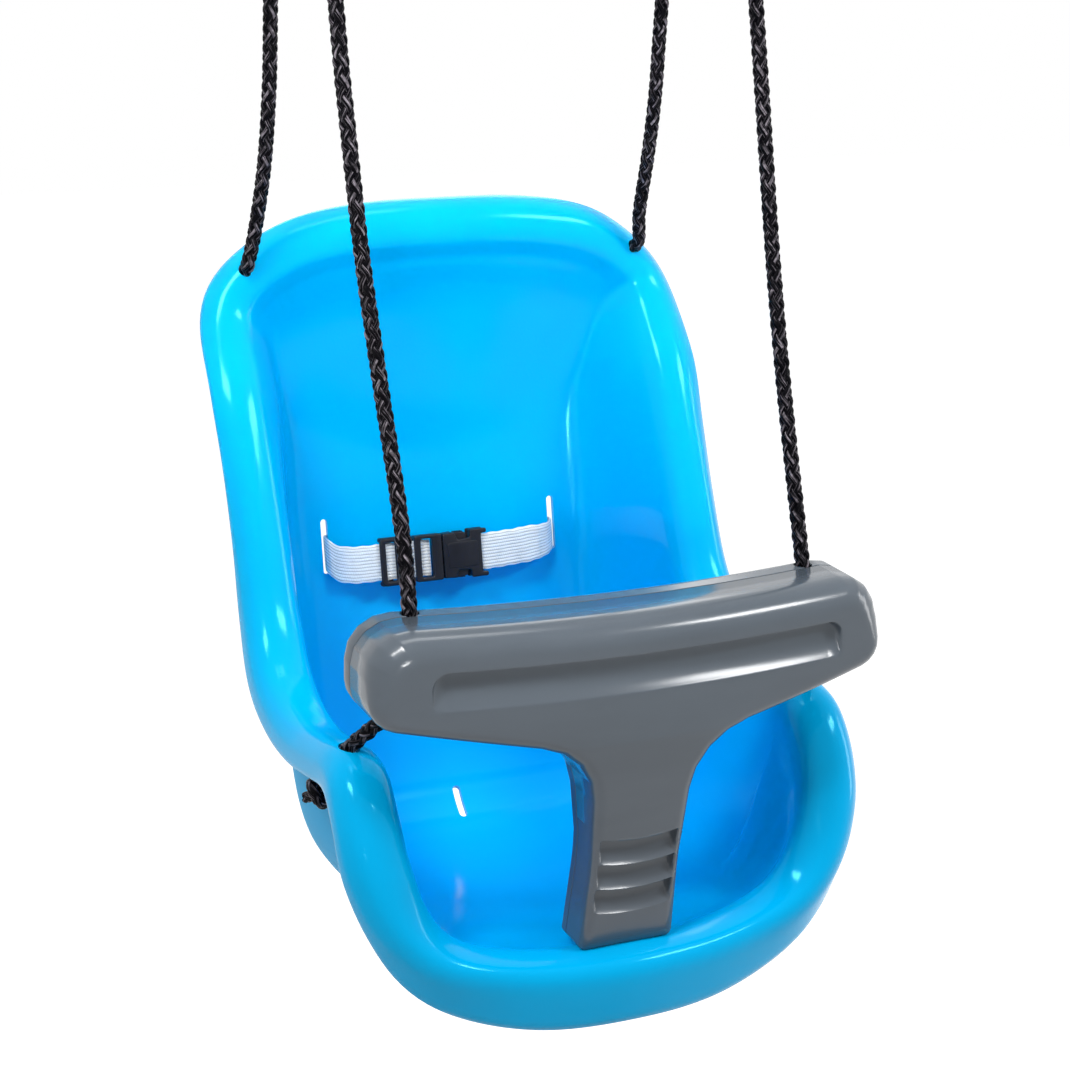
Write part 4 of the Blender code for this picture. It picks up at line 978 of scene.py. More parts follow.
def braided(name, points, tree, **sizes):
    # Mesh of a braided rope along the points
    curve = bpy.data.curves.new(name, "CURVE")
    curve.dimensions = "3D"
    spline = curve.splines.new("POLY")
    spline.points.add(len(points) - 1)
    for spot, point in zip(points, spline.points):
        point.co = (*spot, 1.0)
    thing = link(name, curve)
    step = thing.modifiers.new("braid", "NODES")
    step.node_group = tree.tree
    step[tree.identifiers["Finish"]] = FINISHES["rope_black"]
    for label, value in sizes.items():
        step[tree.identifiers[label.replace("_", " ")]] = value
    return evaluated(thing)


def fine_route(points, step):
    # The smooth route read at even steps, and its length
    fine = smooth_points(points, np.linspace(0, len(points) - 1, 4000))
    length = float(way_along(fine)[-1])
    return read_along(fine, np.linspace(0.0, length, int(length / step) + 1)), length


def tight_knot():
    # Overhand knot along the third axis, drawn tight until its turns lie a gap apart
    turn = np.linspace(-2.15, 2.15, 90)
    loops = np.stack([turn ** 3 - 3 * turn, turn ** 4 - 4 * turn ** 2, (turn ** 5 - 10 * turn) / 5], axis=1)
    ends = np.array([0.0, 0.0, 10.0])
    line = np.vstack([-ends, loops, ends]) * 0.0030
    apart = int(1.35 * KNOT_GAP / KNOT_STEP)
    for draw in range(KNOT_DRAWS):
        # Even steps, a smoother line, ends drawn apart, and turns pushed clear of each other
        length = way_along(line)[-1]
        line = read_along(line, np.linspace(0.0, length, max(int(length / KNOT_STEP), 12)))
        line[1:-1] += 0.45 * ((line[:-2] + line[2:]) / 2 - line[1:-1])
        outwards = np.sign(np.linspace(-1, 1, len(line) - 2))[:, None]
        line[1:-1] += 0.06 * (line[-1] - line[0]) / len(line) * outwards
        rows = np.arange(len(line))
        for again in range(2):
            offset = line[:, None] - line[None]
            far = np.linalg.norm(offset, axis=2)
            close = (np.abs(rows[:, None] - rows[None]) > apart) & (far < KNOT_GAP)
            push = np.where(close, (KNOT_GAP - far) / np.maximum(far, 1e-5), 0.0)[..., None] * offset
            shift = 0.5 * push.sum(axis=1) / np.maximum(close.sum(axis=1), 1)[:, None]
            line[1:-1] += shift[1:-1]
    return line


def build_knots(tree):
    line = tight_knot()
    line = line - line[np.abs(line[:, 2]) < 0.012].mean(axis=0)
    tips = [int(np.argmin(np.abs(line[:, 2] - reach))) for reach in (-KNOT_REACH, KNOT_REACH)]
    line = line[min(tips):max(tips) + 1]
    points = fine_route(rope_route(), ROPE_STEP)[0]
    for label, side in SIDES:
        for end, tip, before in (("front", points[0], points[2]), ("rear", points[-1], points[-3])):
            away = Vector(mirrored(unit(tip - before), side))
            centre = Vector(mirrored(tip, side)) + away * (KNOT_DIAMETER / 2 * 0.80 + TOUCH_GAP)
            turn = away.to_track_quat("Z", "Y").to_matrix().to_4x4() @ Matrix.Rotation(0.6 * side, 4, "Z")
            spots = [Matrix.Translation(centre) @ turn @ Vector(spot) for spot in line]
            mesh = braided(
                "knot", spots, tree, Lay_Length=0.040, Strand_Radius=0.0023, Strand_Width=0.0038,
                Strand_Height=0.0021, Weave_Depth=0.0004, Core_Radius=0.0021, Step=0.0011,
            )
            name, node = f"{end}_{label}_knot", f"knot_{end}_{label}"
            place_piece(name, mesh, "rope_black", "seat", [node], crease=60.0)


def build_ropes(tree):
    line, length = fine_route(rope_route(), ROPE_STEP)
    for label, side in SIDES:
        name = f"rope_{label}_braid"
        points = mirrored(line, side)
        mesh = braided(name, points, tree)
        rope = place_piece(name, mesh, "rope_black", "seat", [f"rope_{label}"], crease=None)


# Seat shell
def build_shell():
    work = shell_skin()
    seating = BVHTree.FromBMesh(work)
    holder = link("working", mesh_of(work, "shell_skin"))
    wall = holder.modifiers.new("wall", "SOLIDIFY")
    wall.thickness = SHELL_THICKNESS
    wall.offset = -1.0
    wall.use_even_offset = True
    wall.use_quality_normals = True
    finer = holder.modifiers.new("finer", "SUBSURF")
    finer.levels = 1
    finer.render_levels = 1
    solid = evaluated(holder)
    cutters = []
    rear_hole, rear_face = rope_hole(REAR_HOLE_PLACE, REAR_HOLE_SHIFT)
    # The rear holes fit the ropes closely where they lean in from above
    rear_hole = rear_hole + np.array([0.0, 0.0, REAR_HOLE_RISE])
    lower = rope_lower_route()
    arm_axis = unit(lower[4] - lower[2])
    centre, along, through = belt_slot_points()
    for side in (1, -1):
        middle, way = mirrored(rear_hole, side), mirrored(rear_face, side) * REAR_PUNCH_REACH
        cutters.append(rod_mesh(middle - way, middle + way, REAR_HOLE_RADIUS))
        middle, way = mirrored(lower[3], side), mirrored(arm_axis, side) * PUNCH_REACH
        cutters.append(rod_mesh(middle - way, middle + way, ROPE_HOLE_DIAMETER / 2))
        cutters.append(slot_cutter(mirrored(centre, side), along, through, BELT_SLOT_HEIGHT, BELT_SLOT_WIDTH))
    cutters.append(slot_cutter(*drain_points(), DRAIN_LENGTH, DRAIN_WIDTH))
    shell = cut(solid, cutters)
    # 0 on the seating side to 1 on the outside
    far = np.array([seating.find_nearest(vertex.co)[3] for vertex in shell.vertices])
    outside = np.clip((far - OUTSIDE_START) / OUTSIDE_BLEND, 0.0, 1.0)
    shell.attributes.new("outside", "FLOAT", "POINT").data.foreach_set("value", outside)
    return place_piece("shell", shell, "shell_blue", "seat", ["seat_shell"])


# T-bar
def even_loop(outline, spacing):
    # The closed outline read at even steps, with the way inwards at each point
    line = np.array([tuple(point) for point in outline])
    line = np.vstack([line, line[:1]])
    length = way_along(line)[-1]
    spots = read_along(line, np.linspace(0.0, length, int(length / spacing), endpoint=False))
    ahead = np.roll(spots, -1, axis=0) - np.roll(spots, 1, axis=0)
    ahead /= np.linalg.norm(ahead, axis=1)[:, None]
    turn = np.sum(spots[:, 0] * np.roll(spots[:, 1], -1) - spots[:, 1] * np.roll(spots[:, 0], -1))
    inward = np.stack([-ahead[:, 1], ahead[:, 0]], axis=1) * (1.0 if turn > 0 else -1.0)
    return spots, inward


def edge_distance(spots, outline):
    # Distance of each point to the closed outline
    start, end = outline, np.roll(outline, -1, axis=0)
    along = end - start
    size = np.sum(along ** 2, axis=1)
    nearest = np.empty(len(spots))
    for first in range(0, len(spots), 2000):
        part = spots[first:first + 2000, None, :] - start[None]
        share = np.clip(np.sum(part * along[None], axis=2) / size[None], 0.0, 1.0)
        gap = np.linalg.norm(part - along[None] * share[..., None], axis=2)
        nearest[first:first + 2000] = gap.min(axis=1)
    return nearest


def inside_outline(spots, outline):
    # Whether each point lies inside the closed outline
    x, z = spots[:, 0], spots[:, 1]
    inside = np.zeros(len(spots), bool)
    for (x0, z0), (x1, z1) in zip(outline, np.roll(outline, -1, axis=0)):
        crossing = (z0 > z) != (z1 > z)
        with np.errstate(divide="ignore", invalid="ignore"):
            inside ^= crossing & (x < (x1 - x0) * (z - z0) / (z1 - z0) + x0)
    return inside


def soft_step(value, low, high):
    # From 0 at low to 1 at high, gentle at both ends
    share = np.clip((value - low) / (high - low), 0.0, 1.0)
    return share * share * (3 - 2 * share)


def inside_box(x, z, low, high, radius):
    # How far inside a rounded rectangle each point lies
    gap_x = np.abs(x - (low[0] + high[0]) / 2) - (high[0] - low[0]) / 2 + radius
    gap_z = np.abs(z - (low[1] + high[1]) / 2) - (high[1] - low[1]) / 2 + radius
    corner = np.sqrt(np.maximum(gap_x, 0.0) ** 2 + np.maximum(gap_z, 0.0) ** 2)
    return radius - corner - np.minimum(np.maximum(gap_x, gap_z), 0.0)


def groove_box(inset=0.0):
    # Corners and corner radius of the finger groove
    half, high = BAR_GROOVE_HALF_LENGTH - inset, BAR_GROOVE_WIDTH / 2 - inset
    return (-half, BAR_GROOVE_HEIGHT - high), (half, BAR_GROOVE_HEIGHT + high), GROOVE_CORNER - inset


def run_out(share):
    # Full depth under the upper edge, then a hollow that steepens up to the lip
    return np.clip(1.0 - (np.maximum(share - 0.28, 0.0) / 0.70) ** 2, 0.0, 1.0)


def groove_depth(x, z):
    # Long finger groove, deep under its upper edge and running out to its lower lip
    low, high, radius = groove_box()
    inside = inside_box(x, z, (low[0], low[1] - 2 * radius), high, radius)
    wall = soft_step(inside, -0.0001, GROOVE_FILLET)
    ends = np.sqrt(np.clip((high[0] - np.abs(x)) / 0.009, 0.0, 1.0))
    return BAR_GROOVE_DEPTH * wall * ends * run_out((high[1] - z) / BAR_GROOVE_WIDTH)


def grip_bow(x):
    # How far the grips' edges drop towards the middle of the post
    return GRIP_BOW * np.maximum(1.0 - (x / GRIP_HALF_WIDTH) ** 2, 0.0)


def grip_depth(x, z):
    # Scooped finger grips with bowed edges, deep under each upper edge
    depth = np.zeros(len(x))
    for index in range(GRIP_COUNT):
        share = (GRIP_TOP - grip_bow(x) - index * GRIP_PITCH - z) / GRIP_PITCH
        scoop = soft_step(share, 0.0, 0.12) * run_out(share)
        scoop[(share < 0.0) | (share > 1.0)] = 0.0
        side = 1.0 - soft_step(np.abs(x), GRIP_HALF_WIDTH - 0.0026, GRIP_HALF_WIDTH)
        depth += GRIP_DEPTH * BAR_THICKNESS / POST_THICKNESS * scoop * side
    return depth


def face_rounding(z):
    # Full along the bar's top, tighter along its underside and down the post
    share = soft_step(z, BAR_END_BOTTOM + 0.004, BAR_TOP - 0.016)
    return LOWER_ROUNDING + (BAR_ROUNDING - LOWER_ROUNDING) * share


def hex_grid(low, high, spacing):
    # Points in rows that are shifted by half a step from each other
    rows = np.arange(low[1], high[1], spacing * 0.866)
    spots = []
    for index, z in enumerate(rows):
        x = np.arange(low[0] + (index % 2) * spacing / 2, high[0], spacing)
        spots.append(np.stack([x, np.full(len(x), z)], axis=1))
    return np.vstack(spots)


def detailed_grid(grid):
    # The grid with rows of points along the edges of the groove and the grips
    band = []
    for inset in (-0.0005, 0.0, 0.0003, 0.0008, 0.0014, 0.0022, 0.0032, 0.0044):
        band.append(even_loop(rounded_box(*groove_box(inset), 8), 0.0010)[0])
    bottom = GRIP_TOP - GRIP_COUNT * GRIP_PITCH
    near_side = GRIP_HALF_WIDTH - np.array([0.0, 0.0006, 0.0012, 0.0018, 0.0026, 0.0034])
    across = np.concatenate([-near_side, np.arange(-0.0205, 0.0206, 0.00082), near_side[::-1]])
    shares = np.concatenate([np.arange(0.0, 0.13, 0.024), np.arange(0.15, 0.93, 0.05), [0.945, 0.965, 0.98]])
    heights = [GRIP_TOP - (index + share) * GRIP_PITCH for index in range(GRIP_COUNT) for share in shares]
    grips = np.array([(x, z - grip_bow(x)) for z in [*heights, bottom] for x in across])
    x, z = grid.T
    inside = inside_box(x, z, *groove_box())
    in_band = (inside > -0.0012) & (inside < 0.0050)
    lowered = z + grip_bow(x)
    in_grips = (np.abs(x) < GRIP_HALF_WIDTH + 0.001) & (lowered > bottom - 0.001)
    in_grips &= lowered < GRIP_TOP + 0.001
    return np.vstack([grid[~in_band & ~in_grips], *band, grips])


def bar_half(rounding, seam, detailed):
    # One moulding of the bar, its face at y 0 and its open side towards the seam
    outline, inward = even_loop(rounded_outline(bar_corners(), 4), BAR_EDGE_STEP)
    count = len(outline)

    def turn_at(z):
        return face_rounding(z) if detailed else np.full(len(z), rounding)

    def drawn_in(z, angle):
        return turn_at(z) * (1 - math.sin(math.radians(angle)))

    rings = [outline]
    for angle in (80, 68, 56, 45):
        rings.append(outline + inward * drawn_in(outline[:, 1], angle)[:, None])
    grid = hex_grid((-BAR_HALF_LENGTH, FOOT_BOTTOM), (BAR_HALF_LENGTH, BAR_TOP), BAR_GRID_STEP)
    if detailed:
        grid = detailed_grid(grid)
    grid = grid[inside_outline(grid, outline)]
    grid = grid[edge_distance(grid, outline) > drawn_in(grid[:, 1], 45) + 0.0008]
    spots = [Vector(spot) for spot in np.vstack(rings + [grid])]
    flat, _, faces, origins, _, _ = delaunay_2d_cdt(spots, [], [list(range(count))], 1, 1e-7)
    spots = np.array([tuple(spot) for spot in flat])
    inset = edge_distance(spots, outline)
    inset[inset < 2e-6] = 0.0
    turn = turn_at(spots[:, 1])
    depth = turn - np.sqrt(np.maximum(turn ** 2 - np.maximum(turn - inset, 0.0) ** 2, 0.0))
    if detailed:
        for hollow in (groove_depth(*spots.T), grip_depth(*spots.T)):
            depth = np.where(hollow > 0, np.sqrt(depth ** 2 + hollow ** 2), depth)
    work = bmesh.new()
    verts = [work.verts.new((x, y, z)) for (x, z), y in zip(spots, depth)]
    for face in faces:
        work.faces.new([verts[corner] for corner in face])
    ring = [None] * count
    for index, source in enumerate(origins):
        for number in source:
            if number < count:
                ring[number] = verts[index]
    floor = GRIP_DEPTH * BAR_THICKNESS / POST_THICKNESS + BAR_WALL
    rows = [ring]
    # Side wall down to the seam with its small step, then the inside back up to the floor
    for inset, y in (
        (0.0, rounding + 0.0006), (0.0, seam - 0.0005), (0.00015, seam - 0.0003), (0.0014, seam - 0.0002),
        (0.0015, seam), (BAR_WALL, seam), (BAR_WALL, max(rounding + 0.002, floor + 0.004)),
        (BAR_WALL + 0.002, floor + 0.001), (BAR_WALL + 0.004, floor),
    ):
        rows.append([work.verts.new((x, y, z)) for x, z in outline + inward * inset])
    bridge(work, rows)
    work.faces.new(rows[-1])
    bmesh.ops.recalc_face_normals(work, faces=work.faces)
    return mesh_of(work, "bar_half")


def bar_channels():
    # What the ropes' ways take out of the bar
    tools = []
    lower = rope_lower_route()
    for side in (1, -1):
        tools.append(rod_mesh(*rope_channel(side), ROPE_HOLE_DIAMETER / 2))
        tip, hole = [Vector(mirrored(lower[row], side)) for row in (-1, 3)]
        away = (hole - tip).normalized()
        tools.append(rod_mesh(tip - away * 0.003, tip + away * 0.030, ROPE_HOLE_DIAMETER / 2 + 0.001))
    return tools


def bent(mesh):
    # The flat drawn mesh bowed to the bar's shape
    for vertex in mesh.vertices:
        vertex.co = Vector(bend_point(*vertex.co))
    return mesh


def build_bar():
    front = bar_half(BAR_ROUNDING, BAR_SEAM_DEPTH - TOUCH_GAP / 2, True)
    rear = bar_half(REAR_ROUNDING, BAR_THICKNESS - BAR_SEAM_DEPTH - TOUCH_GAP / 2, False)
    rear.transform(Matrix.Translation((0.0, BAR_THICKNESS, 0.0)) @ Matrix.Diagonal((1.0, -1.0, 1.0, 1.0)))
    rear.flip_normals()
    wells = []
    for x, z in SCREW_SPOTS:
        wells.append(rod_mesh((x, BAR_THICKNESS - 0.0045, z), (x, BAR_THICKNESS + 0.01, z), 0.0040, sides=32))
    front, rear = bent(front), bent(cut(rear, wells))
    place_piece("bar_front", cut(front, bar_channels()), "bar_grey", "bar", ["bar_front_shell"], crease=50)
    place_piece("bar_rear", cut(rear, bar_channels()), "bar_grey", "bar", ["bar_rear_shell"], crease=35)


def build_screws():
    # Domed heads down their wells, with a cross recess
    top = BAR_THICKNESS - SCREW_DEPTH
    section = ((0.0033, -0.0036), (0.0035, -0.0030), (0.0034, -0.0016), (0.0028, -0.0005), (0.0015, -0.0001))
    turns = [math.tau * step / 48 for step in range(48)]
    for number, (x, z) in enumerate(SCREW_SPOTS, start=1):
        work = bmesh.new()
        rows = []
        for radius, rise in section:
            ring = [(x + radius * math.cos(turn), z + radius * math.sin(turn)) for turn in turns]
            rows.append([work.verts.new((across, top + rise, up)) for across, up in ring])
        bridge(work, rows)
        work.faces.new(rows[0])
        work.faces.new(rows[-1])
        bmesh.ops.recalc_face_normals(work, faces=work.faces)
        arms = []
        for wide, high in ((0.0019, 0.00045), (0.00045, 0.0019)):
            arms.append(box_mesh((x - wide, top - SCREW_RECESS, z - high), (x + wide, top + 0.002, z + high)))
        head = bent(cut(mesh_of(work, "screw"), arms))
        place_piece(f"screw_{number}", head, "steel", "bar", [f"bar_screw_{number}"], crease=32.0)


# Lap belt
def belt_place():
    # Frame of the belt, its x along the webbing and its y to the back
    slot, along, _ = belt_slot_points()
    lean = math.atan2(along[1], along[2]) + math.radians(BELT_EXTRA_LEAN)
    place = Matrix.Translation((0.0, slot[1] - BELT_STANDOFF, BELT_HEIGHT))
    return SEAT @ place @ Matrix.Rotation(-lean, 4, "X")


def rounded_box(low, high, radius, steps=6):
    # Rounded rectangle in x and z
    corners = [(low[0], low[1]), (high[0], low[1]), (high[0], high[1]), (low[0], high[1])]
    return rounded_outline([(x, z, radius) for x, z in corners], steps)


def moulding(edge, front, back, bevel, windows=()):
    # Flat moulding drawn in x and z, its front and back along y, with rounded edges and windows
    curve = bpy.data.curves.new("moulding", "CURVE")
    curve.dimensions = "2D"
    curve.fill_mode = "BOTH"
    curve.extrude = (back - front) / 2 - bevel
    curve.bevel_depth = bevel
    curve.bevel_resolution = 2
    curve.offset = -bevel
    for index, outline in enumerate([edge, *windows]):
        line = np.array([tuple(point) for point in outline])
        ahead = np.roll(line, -1, axis=0)
        turn = np.sum(line[:, 0] * ahead[:, 1] - line[:, 1] * ahead[:, 0])
        if (turn > 0) != (index == 0):
            line = line[::-1]
        spline = curve.splines.new("POLY")
        spline.points.add(len(line) - 1)
        for spot, point in zip(line, spline.points):
            point.co = (spot[0], spot[1], 0.0, 1.0)
        spline.use_cyclic_u = True
    mesh = evaluated(link("moulding", curve))
    mesh.transform(Matrix.Translation((0.0, (front + back) / 2, 0.0)) @ Matrix.Rotation(math.pi / 2, 4, "X"))
    work = bmesh.new()
    work.from_mesh(mesh)
    bmesh.ops.remove_doubles(work, verts=work.verts, dist=2e-6)
    bmesh.ops.recalc_face_normals(work, faces=work.faces)
    return mesh_of(work, "moulding")


def plate(low, high, turn, front, back, bevel, window=None):
    # Moulding with a rounded rectangle for its edge, and one for its window
    windows = [rounded_box(*window)] if window else []
    return moulding(rounded_box(low, high, turn), front, back, bevel, windows)


def joined(meshes):
    work = bmesh.new()
    for mesh in meshes:
        work.from_mesh(mesh)
    return mesh_of(work, "joined")


def place_black(name, parts, body, node, place):
    # Black piece of the belt
    place_piece(name, joined(parts), "buckle_black", body, [node], where=place, crease=50.0)


def webbing_route():
    # Middle line of the webbing in the belt's frame: fold at the buckle, right slot, back, left slot
    slot = (SEAT.inverted() @ belt_place()).inverted() @ Vector(belt_slot_points()[0])
    slot_x = BELT_SLOT_SPACING / 2 - 0.0004
    lift = slot.z - WEBBING_DROP

    def behind(x, extra=0.0):
        dish = PAN_DISH * (BELT_SLOT_SPACING ** 2 / 4 - x ** 2) / FLAT_HALF_WIDTH ** 2
        return slot.y + dish + SHELL_THICKNESS + WEBBING_THICKNESS / 2 + TOUCH_GAP + 0.0005 + extra

    turn_in = [
        (slot_x - 0.0006, behind(slot_x, -0.0010), lift),
        (slot_x - 0.0036, behind(slot_x - 0.0036, 0.0004), lift),
        (slot_x - 0.012, behind(slot_x - 0.012), lift),
    ]
    left_end = BUCKLE_JOINT - MALE_LENGTH + 0.0120
    right_end = BUCKLE_JOINT + FEMALE_LENGTH - BUCKLE_BAR_INSET
    right = [
        (right_end, 0.0, 0.0), (right_end + 0.014, 0.0, 0.0), (slot_x * 0.700, 0.0008, lift * 0.15),
        (slot_x * 0.880, slot.y - 0.0085, lift * 0.40), (slot_x - 0.0030, slot.y - 0.0045, lift * 0.75),
        (slot_x - 0.0003, slot.y - 0.0004, lift * 0.96), *turn_in,
    ]
    left = [
        (left_end, 0.0, 0.0), (SLIDER_CENTRE + 0.0125, 0.0, 0.0), (SLIDER_CENTRE - 0.0125, 0.0, 0.0),
        (SLIDER_CENTRE - 0.0215, 0.0004, 0.0), (-slot_x + 0.0110, 0.0022, lift * 0.08),
        (-slot_x + 0.0046, 0.0058, lift * 0.30), (-slot_x + 0.0012, slot.y - 0.0042, lift * 0.70),
        (-slot_x, slot.y - 0.0004, lift * 0.96), *((-x, y, z) for x, y, z in turn_in),
    ]
    middle = [(x, behind(x), lift) for x in (0.045, 0.015, -0.015, -0.045)]
    return right + middle + left[::-1]


def slack(way, across, spot):
    # Ripple of the free webbing between the buckle and the slots
    free = max(0.0, 1.0 - abs(abs(spot[0]) - SLACK_AT) / SLACK_REACH) if spot[1] < 0.012 else 0.0
    share = 1.0 if spot[0] > 0 else 0.45
    wave = 0.0007 * math.sin(way * 330.0 + across * 3.0)
    return free * share * (wave + 0.0006 * across * math.sin(way * 190.0))


def webbing_sheet(line, width, thickness):
    # Woven strip along the line, with a slight ripple and rounded, wavy selvedges; its map is in metres
    ahead = np.gradient(line, axis=0)
    ahead[:, 2] = 0.0
    ahead /= np.linalg.norm(ahead, axis=1)[:, None]
    normal = np.stack([-ahead[:, 1], ahead[:, 0], np.zeros(len(line))], axis=1)
    way = way_along(line)
    across = np.linspace(-0.5, 0.5, 27)
    swell = 0.5 * thickness * np.sqrt(np.maximum(1.0 - (2 * across) ** 10, 0.0))
    ring = [*zip(across, swell), *zip(across[-2:0:-1], -swell[-2:0:-1])]
    count = len(ring)
    work = bmesh.new()
    weave = work.loops.layers.uv.new("weave")
    rows = []
    for at, spot, out in zip(way, line, normal):
        # Drawn together at the right slot
        near_slot = max(0.0, 1.0 - abs(abs(spot[0]) - TIGHT_AT) / TIGHT_REACH)
        tight = TIGHT_SHARE * near_slot ** 1.5 if spot[0] > 0 else 0.0
        row = []
        for place, half in ring:
            edge = 0.00025 * math.sin(at * 610.0) * (abs(place) * 2) ** 6
            across_way = (place - tight * (place + 0.5)) * width + edge
            position = spot + out * (half + slack(at, place, spot)) + np.array([0.0, 0.0, across_way])
            row.append(work.verts.new(position))
        rows.append(row)
    for index in range(len(rows) - 1):
        for step in range(count):
            after = (step + 1) % count
            corners = ((index, step), (index, after), (index + 1, after), (index + 1, step))
            face = work.faces.new([rows[at][turn] for at, turn in corners])
            for loop, (at, turn) in zip(face.loops, corners):
                loop[weave].uv = (way[at], ring[turn][0] * width)
    work.faces.new(rows[0][::-1])
    work.faces.new(rows[-1])
    bmesh.ops.recalc_face_normals(work, faces=work.faces)
    return mesh_of(work, "webbing")


def build_webbing(place):
    line, length = fine_route(webbing_route(), 0.0010)
    webbing = place_piece(
        "webbing", webbing_sheet(line, WEBBING_WIDTH, WEBBING_THICKNESS), "webbing_white", "seat",
        ["belt_webbing"], where=place, crease=60.0,
    )

    # Free end, folded back over the buckle's bar and laid along the webbing towards the right slot
    start = BUCKLE_JOINT + FEMALE_LENGTH - BUCKLE_BAR_INSET
    fold = np.array([spot for spot in line if start < spot[0] < 0.068 and spot[1] < 0.008])
    ahead = np.gradient(fold, axis=0)
    ahead /= np.linalg.norm(ahead, axis=1)[:, None]
    front = np.stack([ahead[:, 1], -ahead[:, 0], np.zeros(len(fold))], axis=1)
    fold = fold + front * (WEBBING_THICKNESS + 0.0002)
    end = place_piece(
        "webbing_fold", webbing_sheet(fold, FOLD_WIDTH, WEBBING_THICKNESS * 0.9), "webbing_white", "seat",
        where=place, crease=60.0,
    )


def build_slider(place):
    wide, high = SLIDER_WIDTH / 2, SLIDER_HEIGHT / 2
    clear = WEBBING_THICKNESS / 2 + SLIDE_GAP
    window = WEBBING_WIDTH / 2 + WEBBING_PLAY
    left, right = SLIDER_CENTRE - wide, SLIDER_CENTRE + wide
    opening = ((left + 0.0042, -window), (right - 0.0042, window), 0.0012)
    parts = [plate((left, -high), (right, high), 0.0035, -clear - 0.0026, -clear, 0.0011, opening)]
    for low, top in ((-high, -window), (window, high)):
        low, top = (left + 0.0004, low), (right - 0.0004, top)
        parts.append(plate(low, top, 0.0012, -clear - 0.0008, clear + 0.0022, 0.0009))
    low, top = (SLIDER_CENTRE - 0.0021, -high + 0.0008), (SLIDER_CENTRE + 0.0021, high - 0.0008)
    parts.append(plate(low, top, 0.0009, clear, clear + 0.0022, 0.0008))
    place_black("slider", parts, "slider", "belt_slider", place)


def build_buckle(place):
    joint, high, deep = BUCKLE_JOINT, BUCKLE_HEIGHT / 2, BUCKLE_THICKNESS / 2
    window = WEBBING_WIDTH / 2 + WEBBING_PLAY
    first, last = joint + TOUCH_GAP, joint + FEMALE_LENGTH
    # Female half: a flat box with a thumb notch in each side and two lugs that hold the webbing's bar
    near, far, reach = first + 0.0085, first + 0.0195, high - 0.0056
    edge = [
        (first, high - 0.0008, 0.0012), (first, 0.0008 - high, 0.0012), (near, -high + 0.0002, 0.0010),
        (near + 0.0022, -reach, 0.0016), (far, -reach - 0.0008, 0.0012),
        (far + 0.0004, -high - 0.0006, 0.0010),
        (last + 0.0004, -high - 0.0006, 0.0014), (last + 0.0004, 0.0026 - high, 0.0012),
        (last - 0.0036, 0.0030 - high, 0.0008), (last - 0.0036, high - 0.0030, 0.0008),
        (last + 0.0004, high - 0.0026, 0.0012), (last + 0.0004, high + 0.0006, 0.0014),
        (far + 0.0004, high + 0.0006, 0.0010), (far, reach + 0.0008, 0.0012), (near + 0.0022, reach, 0.0016),
        (near, high - 0.0002, 0.0010),
    ]
    edge = rounded_outline(edge, 4)
    parts = [moulding(edge, front, back, 0.0009) for front, back in ((-deep, -0.0034), (0.0034, deep))]

    def rails(start, end, middle, half, turn, depth):
        # One bar along each side
        for side in (-1, 1):
            low, top = (start, side * middle - half), (end, side * middle + half)
            parts.append(plate(low, top, turn, -depth, depth, 0.0004))

    rails(first + 0.0002, near - 0.0002, high - 0.0017, 0.0011, 0.0008, 0.0040)
    rails(far + 0.0012, last, high - 0.0012, 0.0014, 0.0010, 0.0040)
    low, top = (far + 0.0012, -high + 0.0006), (last - 0.0040, high - 0.0006)
    parts.append(plate(low, top, 0.0006, -0.0040, 0.0040, 0.0004))
    low, top = (first + 0.0030, -reach + 0.0016), (last - 0.0066, reach - 0.0016)
    parts.append(plate(low, top, 0.0020, -deep - 0.0003, -deep + 0.0012, 0.0003))
    place_black("buckle_socket", parts, "seat", "buckle_female", place)

    # Male half: a frame with one window and its guide tongue
    start = joint - MALE_LENGTH
    opening = ((start + 0.0046, -window), (joint - 0.0072, window), 0.0016)
    rear_opening = ((start + 0.0030, -window), (joint - 0.0060, window), 0.0010)
    low, top = (start + 0.0002, -high + 0.0002), (joint - 0.0002, high - 0.0002)
    parts = [
        plate((start, -high), (joint, high), 0.0018, -0.0045, -0.0016, 0.0009, opening),
        plate(low, top, 0.0018, 0.0012, 0.0045, 0.0009, rear_opening),
    ]
    rails(start + 0.0003, joint - 0.0003, high - 0.0014, 0.0012, 0.0010, 0.0036)
    low, top = (joint - 0.0062, -high + 0.0010), (joint - 0.0002, high - 0.0010)
    parts.append(plate(low, top, 0.0008, -0.0036, 0.0036, 0.0004))
    parts.append(plate((joint - 0.003, -0.0034), (joint + 0.0165, 0.0034), 0.0016, -0.0030, 0.0030, 0.0007))
    place_black("buckle_plug", parts, "seat", "buckle_male", place)

    # Spring prongs with ribbed thumb pads
    section = [
        (0.0, 0.0066, 0.0003), (0.0172, 0.0066, 0.0006), (0.0188, 0.0085, 0.0008), (0.0174, 0.0150, 0.0014),
        (0.0085, 0.0158, 0.0016), (0.0078, 0.0100, 0.0010), (0.0, 0.0096, 0.0003),
    ]
    for label, side in (("upper", 1), ("lower", -1)):
        edge = rounded_outline([(first + x, z * side, turn) for x, z, turn in section], 4)
        parts = [moulding(edge, -0.0030, 0.0030, 0.0005)]
        for number in range(4):
            x, z = joint + 0.0102 + 0.0017 * number, side * 0.01565
            parts.append(rod_mesh((x, -0.0024, z), (x, 0.0024, z), 0.00042, sides=12))
        place_black(f"{label}_prong_arm", parts, f"{label}_prong", f"prong_{label}", place)


